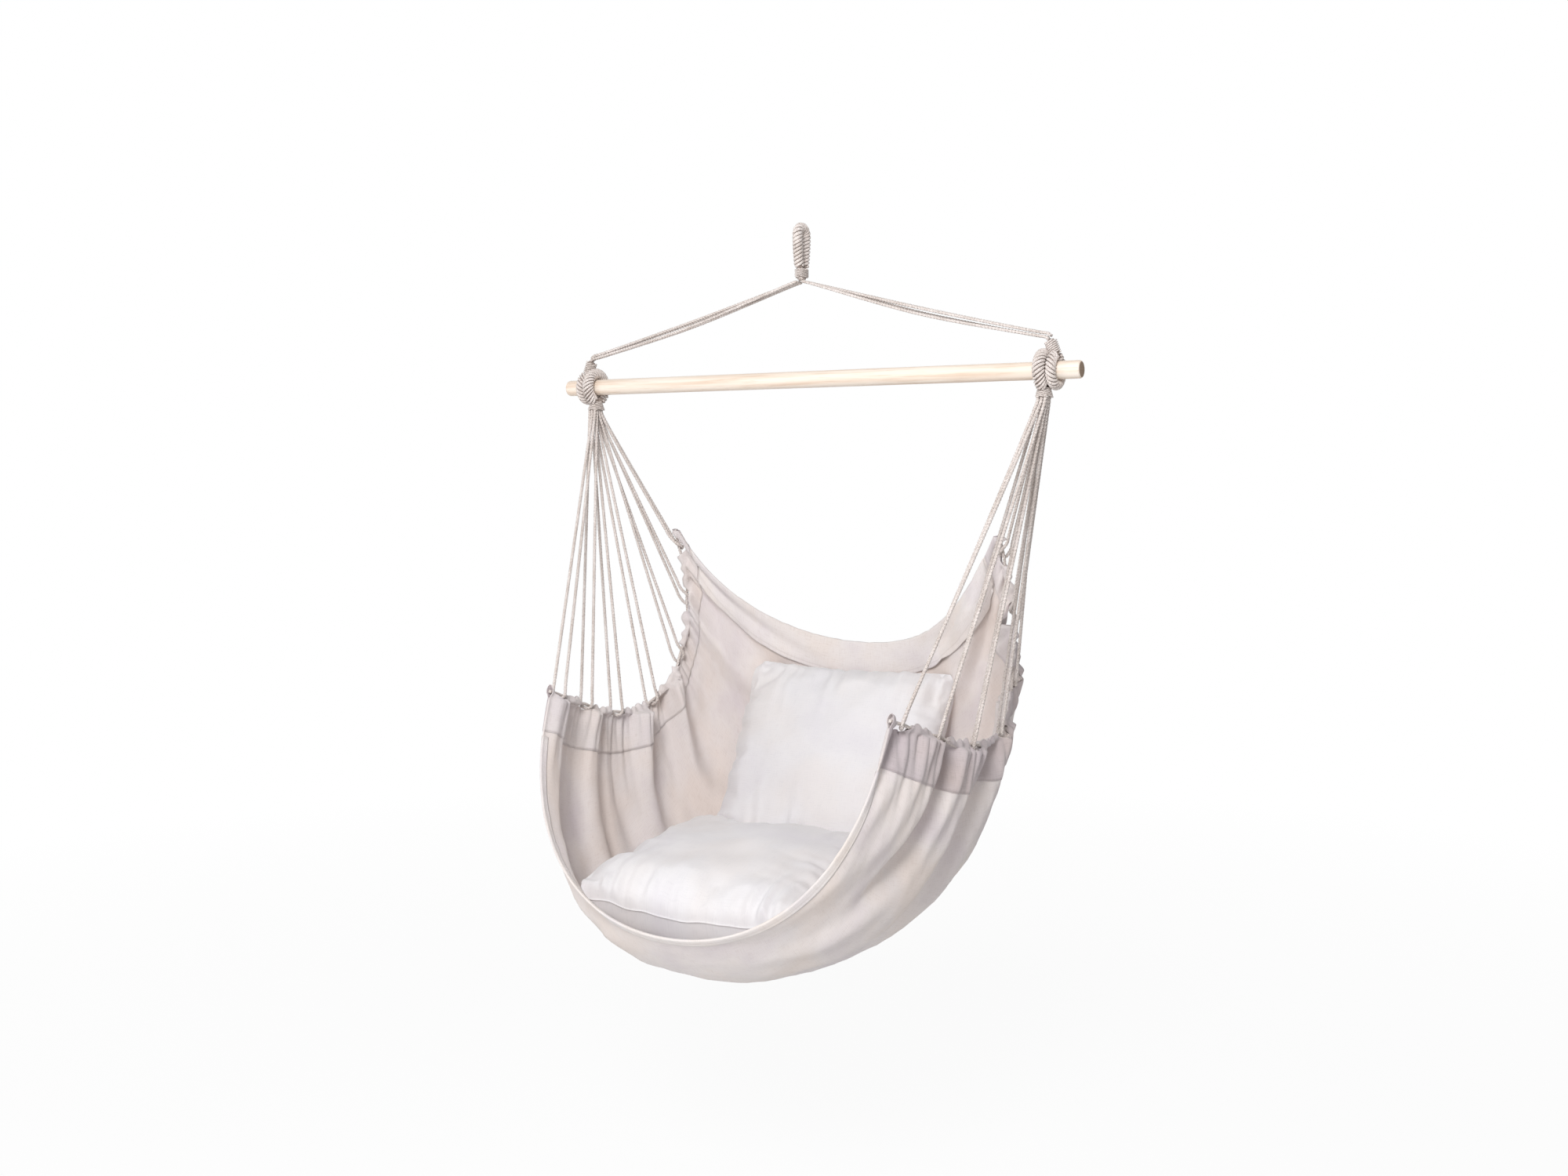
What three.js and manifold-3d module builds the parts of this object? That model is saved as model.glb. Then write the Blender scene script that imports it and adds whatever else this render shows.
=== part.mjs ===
// Hammock chair: a canvas sling with two pillows, hung by cords from a wooden spreader bar.
// Millimetres. The origin is the hang point, the inside of the hanging eye's crown.
// +X runs along the bar, the seat faces -Y, and +Z is up.
import * as THREE from 'three';
import { mergeVertices } from 'three/addons/utils/BufferGeometryUtils.js';
import Module from 'manifold-3d';

const wasm = await Module();
wasm.setup();

// Driving dimensions
const barLength = 1000;
const barRadius = 14.3;
const barEndRound = 4;
const barDrop = 251; // hang point down to the bar's axis
const cordRadius = 2.7; // clew and suspension cords
const bindingRadius = 1.6; // thin cord that is wound round the eyes
const clearance = 0.3; // running gap between pieces that touch
const seatHalfWidth = 370;
const seatDepth = 640;
const seatHeight = 692;
const seatBottomDrop = 957; // bar's axis down to the lowest canvas
const seatFront = -410; // foremost canvas, measured from the bar
const canvasThickness = 2;
const pillowWidth = 416;
const pillowDepth = 360;

// Round counts
const barSides = 20;
const cordSides = 6;
const bindingSides = 5;
const stepsPerTurn = 8;
const ballSides = 12;
const ballRows = 8;
const bundleSides = 16;
const ropeSides = 8;

const finishes = {
  cord: { color: 0xd6c8c0, roughness: 0.9 },
  wood: { color: 0xf8e8d4, roughness: 0.55 },
  canvas: { color: 0xe4dede, roughness: 0.9 },
  pillow: { color: 0xefecee, roughness: 0.95 },
  filling: { color: 0xf4f2ee, roughness: 1 },
};

const chair = new THREE.Group();
const belowBar = new THREE.Group(); // everything that is placed from the bar's axis
belowBar.position.z = -barDrop;
chair.add(belowBar);

function addPiece(group, name, geometry, finish) {
  const mesh = new THREE.Mesh(geometry, new THREE.MeshStandardMaterial({ ...finish, metalness: 0 }));
  mesh.name = name;
  group.add(mesh);
  return mesh;
}

function vec(x, y, z) {
  return new THREE.Vector3(x, y, z);
}

function meshFrom(points, triangles) {
  const geometry = new THREE.BufferGeometry();
  const numbers = points.flatMap((p) => [p.x, p.y, p.z]);
  geometry.setAttribute('position', new THREE.Float32BufferAttribute(numbers, 3));
  geometry.setIndex(triangles);
  geometry.computeVertexNormals();
  return geometry;
}

// Joining and cutting
function toSolid(geometry) {
  const bare = geometry.clone();
  bare.deleteAttribute('normal');
  bare.deleteAttribute('uv');
  const merged = mergeVertices(bare);
  const vertProperties = new Float32Array(merged.attributes.position.array);
  const triVerts = new Uint32Array(merged.index.array);
  return new wasm.Manifold(new wasm.Mesh({ numProp: 3, vertProperties, triVerts }));
}

function toGeometry(solid) {
  const mesh = solid.getMesh();
  const geometry = new THREE.BufferGeometry();
  geometry.setAttribute('position', new THREE.Float32BufferAttribute(Array.from(mesh.vertProperties), 3));
  geometry.setIndex(Array.from(mesh.triVerts));
  geometry.computeVertexNormals();
  return geometry;
}

// A round or oval tube through a list of points; its section turns as little as it can.
const steepShare = 0.8; // a path that rises more than this starts from a sideways direction
function tube(points, radius, sides, closed, flatness = 1, firstSide = null) {
  const count = points.length;
  const rings = [];
  let side = firstSide;
  for (let i = 0; i < count; i++) {
    const before = closed ? points[(i + count - 1) % count] : points[Math.max(i - 1, 0)];
    const after = closed ? points[(i + 1) % count] : points[Math.min(i + 1, count - 1)];
    const along = after.clone().sub(before).normalize();
    if (side === null) {
      side = Math.abs(along.z) < steepShare ? vec(0, 0, 1) : vec(0, 1, 0);
    }
    side = side.clone().sub(along.clone().multiplyScalar(side.dot(along))).normalize();
    const across = along.clone().cross(side);
    for (let k = 0; k < sides; k++) {
      const angle = (2 * Math.PI * k) / sides;
      const out = side.clone().multiplyScalar(Math.cos(angle) * radius);
      out.add(across.clone().multiplyScalar(Math.sin(angle) * radius * flatness));
      rings.push(points[i].clone().add(out));
    }
  }
  const triangles = [];
  const spans = closed ? count : count - 1;
  for (let i = 0; i < spans; i++) {
    for (let k = 0; k < sides; k++) {
      const a = i * sides + k;
      const b = i * sides + ((k + 1) % sides);
      const c = ((i + 1) % count) * sides + ((k + 1) % sides);
      const d = ((i + 1) % count) * sides + k;
      triangles.push(a, b, c, a, c, d);
    }
  }
  if (!closed) {
    const last = (count - 1) * sides;
    for (let k = 1; k < sides - 1; k++) {
      triangles.push(0, k + 1, k);
      triangles.push(last, last + k, last + k + 1);
    }
  }
  return meshFrom(rings, triangles);
}

// The path of a cord wound round a spine. The spine gives a centre and two directions at a share of its run.
function windingPath(spine, turns, reach, reachAcross = reach) {
  const path = [];
  const steps = turns * stepsPerTurn;
  for (let i = 0; i <= steps; i++) {
    const angle = (2 * Math.PI * i) / stepsPerTurn;
    const at = spine(i / steps);
    const point = at.centre.clone();
    point.add(at.side.clone().multiplyScalar(Math.cos(angle) * reach));
    point.add(at.across.clone().multiplyScalar(Math.sin(angle) * reachAcross));
    path.push(point);
  }
  return path;
}

function leastGapToItself(path, radius) {
  let least = Infinity;
  for (let i = 0; i < path.length; i++) {
    for (let k = i + stepsPerTurn / 2; k < path.length; k++) {
      least = Math.min(least, path[i].distanceTo(path[k]));
    }
  }
  return least - 2 * radius;
}

function binding(group, name, spine, turns, reach, reachAcross = reach) {
  const path = windingPath(spine, turns, reach, reachAcross);
  console.log(`${name}: least gap to itself ${leastGapToItself(path, bindingRadius).toFixed(2)} mm`);
  const first = spine(0);
  addPiece(group, name, tube(path, bindingRadius, bindingSides, false, 1, first.side), finishes.cord);
}

// A polygon's flats lie inside its circle, so a winding stands off by this much more.
const standOff = 1 / Math.cos(Math.PI / stepsPerTurn);

// Spreader bar
function makeBar() {
  const half = barLength / 2;
  const bend = barEndRound * (1 - Math.SQRT1_2);
  const profile = [
    new THREE.Vector2(0, -half),
    new THREE.Vector2(barRadius - barEndRound, -half),
    new THREE.Vector2(barRadius - bend, -half + bend),
    new THREE.Vector2(barRadius, -half + barEndRound),
    new THREE.Vector2(barRadius, half - barEndRound),
    new THREE.Vector2(barRadius - bend, half - bend),
    new THREE.Vector2(barRadius - barEndRound, half),
    new THREE.Vector2(0, half),
  ];
  const geometry = new THREE.LatheGeometry(profile, barSides);
  geometry.rotateZ(-Math.PI / 2);
  addPiece(belowBar, 'spreader_bar', geometry, finishes.wood);
}

// Hanging eye: a narrow upright loop of rope, cut flat where it turns on the neck below it
const eyeRopeRadius = 4.6;
const eyeHoleHalf = 5.6;
const eyeLegs = 42; // straight part of the loop's legs
const eyeTurns = 13;
const eyeRopeReach = (eyeRopeRadius + clearance + bindingRadius) * standOff;
const eyeOuterReach = eyeRopeReach + bindingRadius;
const eyeBendRadius = eyeHoleHalf + eyeOuterReach;
const eyeCrownDrop = eyeHoleHalf; // hang point down to the crown's centre
const eyeBottomDrop = eyeCrownDrop + eyeLegs;
const turnPlaneDrop = 61; // hang point down to where the neck turns
const neckHalfX = 6.6;
const neckHalfY = 11.6;
const neckBindingTurns = 3;
const tiltDrop = 78; // hang point down to where the cords part and tilt
const tiltBallRadius = 7;

function eyeLoopPoint(run) {
  // run goes from the foot of the -Y leg, over the crown, to the foot of the +Y leg
  const bend = Math.PI * eyeBendRadius;
  const total = 2 * eyeLegs + bend;
  const s = run * total;
  if (s < eyeLegs) {
    return { centre: vec(0, -eyeBendRadius, -eyeBottomDrop + s), out: vec(0, -1, 0) };
  }
  if (s < eyeLegs + bend) {
    const angle = (s - eyeLegs) / eyeBendRadius;
    const out = vec(0, -Math.cos(angle), Math.sin(angle));
    return { centre: out.clone().multiplyScalar(eyeBendRadius).add(vec(0, 0, -eyeCrownDrop)), out };
  }
  return { centre: vec(0, eyeBendRadius, -eyeCrownDrop - (s - eyeLegs - bend)), out: vec(0, 1, 0) };
}

function makeHangingEye() {
  const points = [];
  const crownSteps = 10;
  for (let i = 0; i <= crownSteps; i++) {
    const angle = (Math.PI * i) / crownSteps;
    points.push(vec(0, -Math.cos(angle) * eyeBendRadius, -eyeCrownDrop + Math.sin(angle) * eyeBendRadius));
  }
  for (let i = 0; i <= crownSteps; i++) {
    const angle = (Math.PI * i) / crownSteps;
    points.push(vec(0, Math.cos(angle) * eyeBendRadius, -eyeBottomDrop - Math.sin(angle) * eyeBendRadius));
  }
  const loop = toSolid(tube(points, eyeRopeRadius, ropeSides, true, 1, vec(1, 0, 0)));
  const cutSize = 4 * neckHalfY;
  const below = new THREE.BoxGeometry(cutSize, cutSize, cutSize);
  below.translate(0, 0, -turnPlaneDrop - cutSize / 2);
  const foot = new THREE.CylinderGeometry(neckHalfY, neckHalfY, 2 * eyeRopeRadius, bundleSides);
  foot.rotateX(Math.PI / 2);
  foot.scale(neckHalfX / neckHalfY, 1, 1);
  foot.translate(0, 0, -turnPlaneDrop + eyeRopeRadius);
  const whole = loop.add(toSolid(foot)).subtract(toSolid(below));
  addPiece(chair, 'hanging_eye', toGeometry(whole), finishes.cord);

  const bareShare = 0.06; // of the run at each end, so that the binding stops above the foot
  const spine = (share) => {
    const at = eyeLoopPoint(bareShare + share * (1 - 2 * bareShare));
    return { centre: at.centre, side: vec(1, 0, 0), across: at.out };
  };
  binding(chair, 'hanging_eye_binding', spine, eyeTurns, eyeRopeReach);
}

// Neck: the bundle of strands under the eye, bound with a few turns. Its foot is a ball, round which the cords tilt.
function makeNeck() {
  const top = -turnPlaneDrop - clearance;
  const length = top + tiltDrop;
  const bundle = new THREE.CylinderGeometry(neckHalfY, neckHalfY, length, bundleSides);
  bundle.rotateX(Math.PI / 2);
  bundle.scale(neckHalfX / neckHalfY, 1, 1);
  bundle.translate(0, 0, top - length / 2);
  const ball = new THREE.SphereGeometry(tiltBallRadius, ballSides, ballRows);
  ball.translate(0, 0, -tiltDrop);
  addPiece(chair, 'neck', toGeometry(toSolid(bundle).add(toSolid(ball))), finishes.cord);
  const reachX = (neckHalfX + clearance + bindingRadius) * standOff;
  const reachY = (neckHalfY + clearance + bindingRadius) * standOff;
  const spine = (share) => ({
    centre: vec(0, 0, top - bindingRadius - share * (length - 2 * bindingRadius)),
    side: vec(1, 0, 0),
    across: vec(0, 1, 0),
  });
  binding(chair, 'neck_binding', spine, neckBindingTurns, reachX, reachY);
}

// Rope eyes round the bar. Each is a ring with a neck; the strands inside are one bundle.
const suspensionInset = 43; // in from each end of the bar
const suspensionPlace = barLength / 2 - suspensionInset; // along the bar, from its middle
const suspensionRopeRadius = 4.4;
const clewRopeRadius = 6.2;
const ringTurns = 12;
const ringSteps = 18;
const ringSides = 6;

function ropeReach(ropeRadius) {
  return (ropeRadius + clearance + bindingRadius) * standOff;
}

function ringRadius(ropeRadius) {
  return barRadius + clearance + ropeReach(ropeRadius) + bindingRadius;
}

const suspensionRing = ringRadius(suspensionRopeRadius);
const clewRing = ringRadius(clewRopeRadius);
const ropeSide = bindingRadius + clearance;
const clewPlace =
  suspensionPlace - ropeReach(suspensionRopeRadius) - ropeReach(clewRopeRadius) - ropeSide - bindingRadius;

function ringSolid(place, radius, ropeRadius) {
  const points = [];
  for (let i = 0; i < ringSteps; i++) {
    const angle = (2 * Math.PI * i) / ringSteps;
    points.push(vec(place, Math.sin(angle) * radius, Math.cos(angle) * radius));
  }
  return toSolid(tube(points, ropeRadius, ringSides, true, 1, vec(1, 0, 0)));
}

// Binding round a ring, open towards the neck: up is 1 for a neck above the bar and -1 for one below it
function ringBinding(name, place, radius, ropeRadius, openHalfAngle, up) {
  const spine = (share) => {
    const angle = openHalfAngle + share * 2 * (Math.PI - openHalfAngle);
    const out = vec(0, Math.sin(angle), Math.cos(angle) * up);
    const centre = out.clone().multiplyScalar(radius);
    centre.x = place;
    return { centre, side: vec(1, 0, 0), across: out };
  };
  binding(belowBar, name, spine, ringTurns, ropeReach(ropeRadius));
}

// Suspension: four cords a side, from the neck's ball to the eye on the bar
const suspensionNeckTop = 47; // bar's axis up to where the cords leave the eye
const suspensionNeckHalf = 6.4;
const suspensionLean = 9; // how far the neck leans towards the middle
const leanShare = 0.3; // of that lean, reached half way up the neck
const strandSpacing = 5.9;
const strandSagShares = [0.02, 0.006, 0.004, 0.014]; // of the cord's run
const apexShares = [-1.5, -0.5, 0.5, 1.5]; // of the spacing, front to back, under the neck
const cordStartOut = 3.6; // from the ball's centre to where a cord starts, sideways and down
const cordStartDown = 5.4;
const cordLeaveOut = 12; // and to where it is clear of the ball
const cordLeaveDown = 7.6;
const cordRiseShare = 0.05; // last part of a cord, straight down to the eye
const cordSteps = 6;

function suspensionEyeEnd(hand) {
  return vec(hand * (suspensionPlace - suspensionLean), 0, suspensionNeckTop);
}

function makeSuspensionEye(hand, side) {
  const place = hand * suspensionPlace;
  const ring = ringSolid(place, suspensionRing, suspensionRopeRadius);
  const neckPath = [
    vec(place, 0, suspensionRing),
    vec(place - hand * suspensionLean * leanShare, 0, (suspensionRing + suspensionNeckTop) / 2),
    suspensionEyeEnd(hand),
  ];
  const neck = toSolid(tube(neckPath, suspensionNeckHalf, ropeSides, false, 1, vec(0, 1, 0)));
  addPiece(belowBar, `${side}_suspension_eye`, toGeometry(ring.add(neck)), finishes.cord);
  const openHalfAngle = (suspensionNeckHalf + ropeSide + bindingRadius) / suspensionRing;
  const name = `${side}_suspension_eye_binding`;
  ringBinding(name, place, suspensionRing, suspensionRopeRadius, openHalfAngle, 1);
}

const clusterShares = [[-0.5, -0.5], [-0.5, 0.5], [0.5, 0.5], [0.5, -0.5]];

function makeSuspensionCords(hand, side) {
  const apex = vec(0, 0, barDrop - tiltDrop);
  const end = suspensionEyeEnd(hand);
  const ball = new THREE.SphereGeometry(tiltBallRadius + clearance, ballSides, ballRows);
  ball.translate(apex.x, apex.y, apex.z);
  const hollow = toSolid(ball);
  const run = end.clone().sub(apex).length();
  clusterShares.forEach((share, n) => {
    const row = apexShares[n] * strandSpacing;
    const start = vec(hand * cordStartOut, row, apex.z - cordStartDown);
    const leave = vec(hand * cordLeaveOut, row, apex.z - cordLeaveDown);
    const landing = end.clone().add(vec(share[1] * strandSpacing / 2, share[0] * strandSpacing, 0));
    landing.z += cordRadius + clearance + (share[1] > 0 ? strandSpacing : 0);
    const middle = leave.clone().lerp(landing, 1 / 2);
    middle.z -= strandSagShares[n] * run;
    middle.y += share[0] * strandSpacing;
    const rise = landing.clone().lerp(leave, cordRiseShare);
    const curve = new THREE.CatmullRomCurve3([leave, middle, rise], false, 'centripetal');
    const points = [start, ...curve.getPoints(cordSteps), landing];
    const cord = toSolid(tube(points, cordRadius, cordSides, false, 1, vec(0, 1, 0))).subtract(hollow);
    addPiece(belowBar, `${side}_suspension_cord_${n + 1}`, toGeometry(cord), finishes.cord);
  });
}

// Sling surface. Each rail has eight stations from the front hem to the back band;
// x is a share of the half width, y of the depth from the front, z of the height from the bottom.
const edgeShares = [
  [0.845, 0.186, 0.618], [0.885, 0.322, 0.58], [0.92, 0.469, 0.538], [0.932, 0.61, 0.52],
  [0.922, 0.74, 0.545], [0.895, 0.835, 0.635], [0.87, 0.865, 0.8], [0.85, 0.78, 1],
];
const outerShares = [
  [0.82, 0.054, 0.31], [0.89, 0.186, 0.21], [0.88, 0.371, 0.16], [0.86, 0.557, 0.16],
  [0.84, 0.732, 0.22], [0.79, 0.898, 0.444], [0.72, 0.923, 0.66], [0.65, 0.82, 0.805],
];
const innerShares = [
  [0.46, 0, 0.155], [0.55, 0.161, 0.03], [0.58, 0.4, 0], [0.58, 0.625, 0.045],
  [0.59, 0.791, 0.14], [0.58, 0.918, 0.321], [0.52, 0.991, 0.516], [0.38, 1.001, 0.704],
];
const middleShares = [
  [0, 0, 0.155], [0, 0.161, 0.03], [0, 0.4, 0], [0, 0.625, 0.045],
  [0, 0.791, 0.14], [0, 0.918, 0.321], [0, 0.991, 0.516], [0, 1.001, 0.704],
];

function rail(shares) {
  const points = shares.map((s) => {
    return vec(s[0] * seatHalfWidth, seatFront + s[1] * seatDepth, -seatBottomDrop + s[2] * seatHeight);
  });
  return new THREE.CatmullRomCurve3(points, false, 'centripetal');
}

const edgeRail = rail(edgeShares);
const outerRail = rail(outerShares);
const innerRail = rail(innerShares);
const middleRail = rail(middleShares);

const foldCount = 5;
const foldDepth = 9;
const foldReachShare = 0.62; // how far down a side the folds run

// across runs from 0 at the left edge, by 1 in the middle, to 2 at the right edge
function plainSling(along, across) {
  const hand = across > 1 ? 1 : -1;
  const t = across > 1 ? 2 - across : across;
  const q = 1 - t;
  const point = edgeRail.getPoint(along).multiplyScalar(q * q * q);
  point.add(outerRail.getPoint(along).multiplyScalar(3 * q * q * t));
  point.add(innerRail.getPoint(along).multiplyScalar(3 * q * t * t));
  point.add(middleRail.getPoint(along).multiplyScalar(t * t * t));
  point.x *= hand;
  return point;
}

const normalStepShare = 0.01;

function plainNormal(along, across) {
  const step = normalStepShare;
  const a0 = Math.max(along - step, 0);
  const a1 = Math.min(along + step, 1);
  const c0 = Math.max(across - step, 0);
  const c1 = Math.min(across + step, 2);
  const alongWay = plainSling(a1, across).sub(plainSling(a0, across));
  const acrossWay = plainSling(along, c1).sub(plainSling(along, c0));
  return acrossWay.cross(alongWay).normalize();
}

function slingPoint(along, across) {
  const t = across > 1 ? 2 - across : across;
  const fade = Math.max(1 - t / foldReachShare, 0);
  const ends = Math.sin(Math.PI * along);
  const wave = Math.sin(2 * Math.PI * foldCount * along) * foldDepth * fade * fade * ends;
  return plainSling(along, across).add(plainNormal(along, across).multiplyScalar(wave));
}

// Lines of the canvas grid: the hems share them, so that their faces lie alongside
const hemDepthShare = 0.012;
const bandDepthShare = 0.075;
const channelDepthShare = 0.085;
const alongLines = [0, hemDepthShare];
const plainRows = 20;
for (let i = 1; i <= plainRows; i++) {
  const start = hemDepthShare;
  const end = 1 - bandDepthShare;
  alongLines.push(start + ((end - start) * i) / plainRows);
}
alongLines.push(1 - bandDepthShare / 2, 1);
const halfLines = [0, channelDepthShare, 0.19, 0.32, 0.47, 0.64, 0.82];
const acrossLines = [...halfLines, 1, ...halfLines.map((t) => 2 - t).reverse()];

function gridPoints() {
  return alongLines.map((along) => acrossLines.map((across) => slingPoint(along, across)));
}

const grid = gridPoints();
const gridNormals = grid.map((row, i) => row.map((point, k) => {
  const a = grid[Math.max(i - 1, 0)][k];
  const b = grid[Math.min(i + 1, grid.length - 1)][k];
  const c = row[Math.max(k - 1, 0)];
  const d = row[Math.min(k + 1, row.length - 1)];
  return d.clone().sub(c).cross(b.clone().sub(a)).normalize();
}));

function gridOffset(i, k, distance) {
  return grid[i][k].clone().add(gridNormals[i][k].clone().multiplyScalar(distance));
}

// A closed skin whose section is a loop of points, carried along a number of stations.
// Each point names its line in the canvas grid, so that both are split along the same diagonals.
function loopSkin(stations, lines) {
  const size = stations[0].length;
  const points = stations.flat();
  const triangles = [];
  for (let i = 0; i < stations.length - 1; i++) {
    for (let k = 0; k < size; k++) {
      const next = (k + 1) % size;
      const a = i * size + k;
      const b = i * size + next;
      if (lines[next] >= lines[k]) {
        triangles.push(a, b, b + size, a, b + size, a + size);
      } else {
        triangles.push(a, b, a + size, b, b + size, a + size);
      }
    }
  }
  const ends = THREE.ShapeUtils.triangulateShape(flatten(stations[0]), []);
  const last = (stations.length - 1) * size;
  for (const [a, b, c] of ends) {
    triangles.push(a, c, b);
    triangles.push(last + a, last + b, last + c);
  }
  return outward(meshFrom(points, triangles));
}

// The section's outline in its own plane, for closing its ends
function flatten(section) {
  const origin = section[0];
  const normal = vec(0, 0, 0);
  for (let k = 0; k < section.length; k++) {
    const a = section[k].clone().sub(origin);
    const b = section[(k + 1) % section.length].clone().sub(origin);
    normal.add(a.cross(b));
  }
  normal.normalize();
  const first = section[Math.floor(section.length / 2)].clone().sub(origin);
  const ex = first.sub(normal.clone().multiplyScalar(first.dot(normal))).normalize();
  const ey = normal.clone().cross(ex);
  return section.map((p) => {
    const d = p.clone().sub(origin);
    return new THREE.Vector2(d.dot(ex), d.dot(ey));
  });
}

function volumeOf(geometry) {
  const p = geometry.attributes.position;
  const index = geometry.index;
  let total = 0;
  for (let n = 0; n < index.count; n += 3) {
    const a = vec().fromBufferAttribute(p, index.getX(n));
    const b = vec().fromBufferAttribute(p, index.getX(n + 1));
    const c = vec().fromBufferAttribute(p, index.getX(n + 2));
    total += a.dot(b.cross(c)) / 6;
  }
  return total;
}

function outward(geometry) {
  if (volumeOf(geometry) < 0) {
    const index = Array.from(geometry.index.array);
    for (let n = 0; n < index.length; n += 3) {
      [index[n + 1], index[n + 2]] = [index[n + 2], index[n + 1]];
    }
    geometry.setIndex(index);
    geometry.computeVertexNormals();
  }
  return geometry;
}

function makeSling() {
  const rows = grid.length;
  const columns = acrossLines.length;
  const half = canvasThickness / 2;
  const stations = [];
  for (let i = 0; i < rows; i++) {
    const section = [];
    for (let k = 0; k < columns; k++) {
      section.push(gridOffset(i, k, half));
    }
    for (let k = columns - 1; k >= 0; k--) {
      section.push(gridOffset(i, k, -half));
    }
    stations.push(section);
  }
  const size = 2 * columns;
  const points = stations.flat();
  const triangles = [];
  for (let i = 0; i < rows - 1; i++) {
    for (let k = 0; k < size; k++) {
      const a = i * size + k;
      const b = i * size + ((k + 1) % size);
      // both faces of the canvas are split along the same diagonal
      if (k < columns) {
        triangles.push(a, b, b + size, a, b + size, a + size);
      } else {
        triangles.push(a, b, a + size, b, b + size, a + size);
      }
    }
  }
  const last = (rows - 1) * size;
  for (let k = 0; k < columns - 1; k++) {
    const m = size - 1 - k;
    triangles.push(k, m, m - 1, k, m - 1, k + 1);
    triangles.push(last + k, last + m - 1, last + m, last + k, last + k + 1, last + m - 1);
  }
  addPiece(belowBar, 'sling', outward(meshFrom(points, triangles)), finishes.canvas);
}

// Front hem and back band: folded strips over the canvas's ends, between the edge channels
const stripThickness = 1.2;
const stripGap = canvasThickness / 2 + clearance;

function makeFoldedStrip(name, rows) {
  // rows are grid rows from the folded edge inwards
  const firstColumn = 2;
  const lastColumn = acrossLines.length - 1 - firstColumn;
  const inner = stripGap;
  const outer = stripGap + stripThickness;
  const stations = [];
  for (let k = firstColumn; k <= lastColumn; k++) {
    const edge = rows[0];
    const inward = grid[rows[1]][k].clone().sub(grid[edge][k]).normalize();
    const lip = inward.clone().multiplyScalar(-clearance);
    const brim = inward.clone().multiplyScalar(-clearance - stripThickness);
    const section = [];
    for (let n = rows.length - 1; n >= 1; n--) {
      section.push(gridOffset(rows[n], k, outer));
    }
    section.push(gridOffset(edge, k, outer).add(brim));
    section.push(gridOffset(edge, k, -outer).add(brim));
    for (let n = 1; n < rows.length; n++) {
      section.push(gridOffset(rows[n], k, -outer));
    }
    for (let n = rows.length - 1; n >= 1; n--) {
      section.push(gridOffset(rows[n], k, -inner));
    }
    section.push(gridOffset(edge, k, -inner).add(lip));
    section.push(gridOffset(edge, k, inner).add(lip));
    for (let n = 1; n < rows.length; n++) {
      section.push(gridOffset(rows[n], k, inner));
    }
    stations.push(section);
  }
  const inwards = rows.slice(1);
  const outwards = inwards.slice().reverse();
  const ends = [rows[0], rows[0]];
  const lines = [...outwards, ...ends, ...inwards, ...outwards, ...ends, ...inwards];
  addPiece(belowBar, name, loopSkin(stations, lines), finishes.canvas);
}

// Edge channel, edge cord and clew loops
const edgeCordRadius = 3;
const edgeCordDrop = edgeCordRadius + 2 * cordRadius + 2 * clearance + canvasThickness / 2; // above the canvas's edge
const channelWall = 1.2;
const legSlack = 0.4; // how much further off the canvas the channel stands at the canvas's edge
const crownSlack = 1.3;
const crownTopShare = 1.1; // the crown over the edge cord, as shares of its radius
const crownBendShare = 0.6;
const crownSideShare = 0.95;
const loopCount = 7;
const loopPlaceShares = [0.03, 0.175, 0.33, 0.49, 0.65, 0.81, 0.97];
const loopHalf = 9; // half of a loop's width, along the edge
const loopSideReach = edgeCordRadius + clearance + cordRadius;
const notchSides = 8;
const notchRadius = (loopSideReach + cordRadius + clearance) / Math.cos(Math.PI / notchSides);
const notchEndRoom = 2.5;
const notchHalf = loopHalf + cordRadius + notchEndRoom;

// A loop's bend under the edge cord: along the edge, up towards the clew and out from the seat, as shares
const bendShares = [
  [-1, 2, 1], [-1, 0, 1], [-0.55, -0.75, 0.8], [0, -1.06, 0],
  [0.55, -0.75, -0.8], [1, 0, -1], [1, 2, -1],
];

// Directions at a station of the canvas's edge: up leads away from the canvas, square to the edge
function edgeFrame(column, i) {
  const step = column === 0 ? 1 : -1;
  const edge = grid[i][column];
  const before = grid[Math.max(i - 1, 0)][column];
  const after = grid[Math.min(i + 1, grid.length - 1)][column];
  const along = after.clone().sub(before).normalize();
  const up = edge.clone().sub(grid[i][column + step]);
  up.sub(along.clone().multiplyScalar(up.dot(along))).normalize();
  const normal = gridNormals[i][column].clone();
  return { up, normal, core: edge.clone().add(up.clone().multiplyScalar(edgeCordDrop)) };
}

// Position along the edge cord's polyline, by length
function walk(points) {
  const lengths = [0];
  for (let i = 1; i < points.length; i++) {
    lengths.push(lengths[i - 1] + points[i].distanceTo(points[i - 1]));
  }
  const total = lengths[lengths.length - 1];
  return {
    total,
    at(distance) {
      const d = Math.min(Math.max(distance, 0), total);
      let i = 1;
      while (i < lengths.length - 1 && lengths[i] < d) {
        i += 1;
      }
      const share = (d - lengths[i - 1]) / (lengths[i] - lengths[i - 1]);
      return points[i - 1].clone().lerp(points[i], share);
    },
  };
}

const clewNeckBottom = -42; // bar's axis down to where the cords leave the clew eye
const clewNeckHalfX = 9.8;
const clewNeckHalfY = 15.6;
const clewSlotSpacing = 5.95;
const slotStraight = 7; // straight run of each cord under the neck

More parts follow.
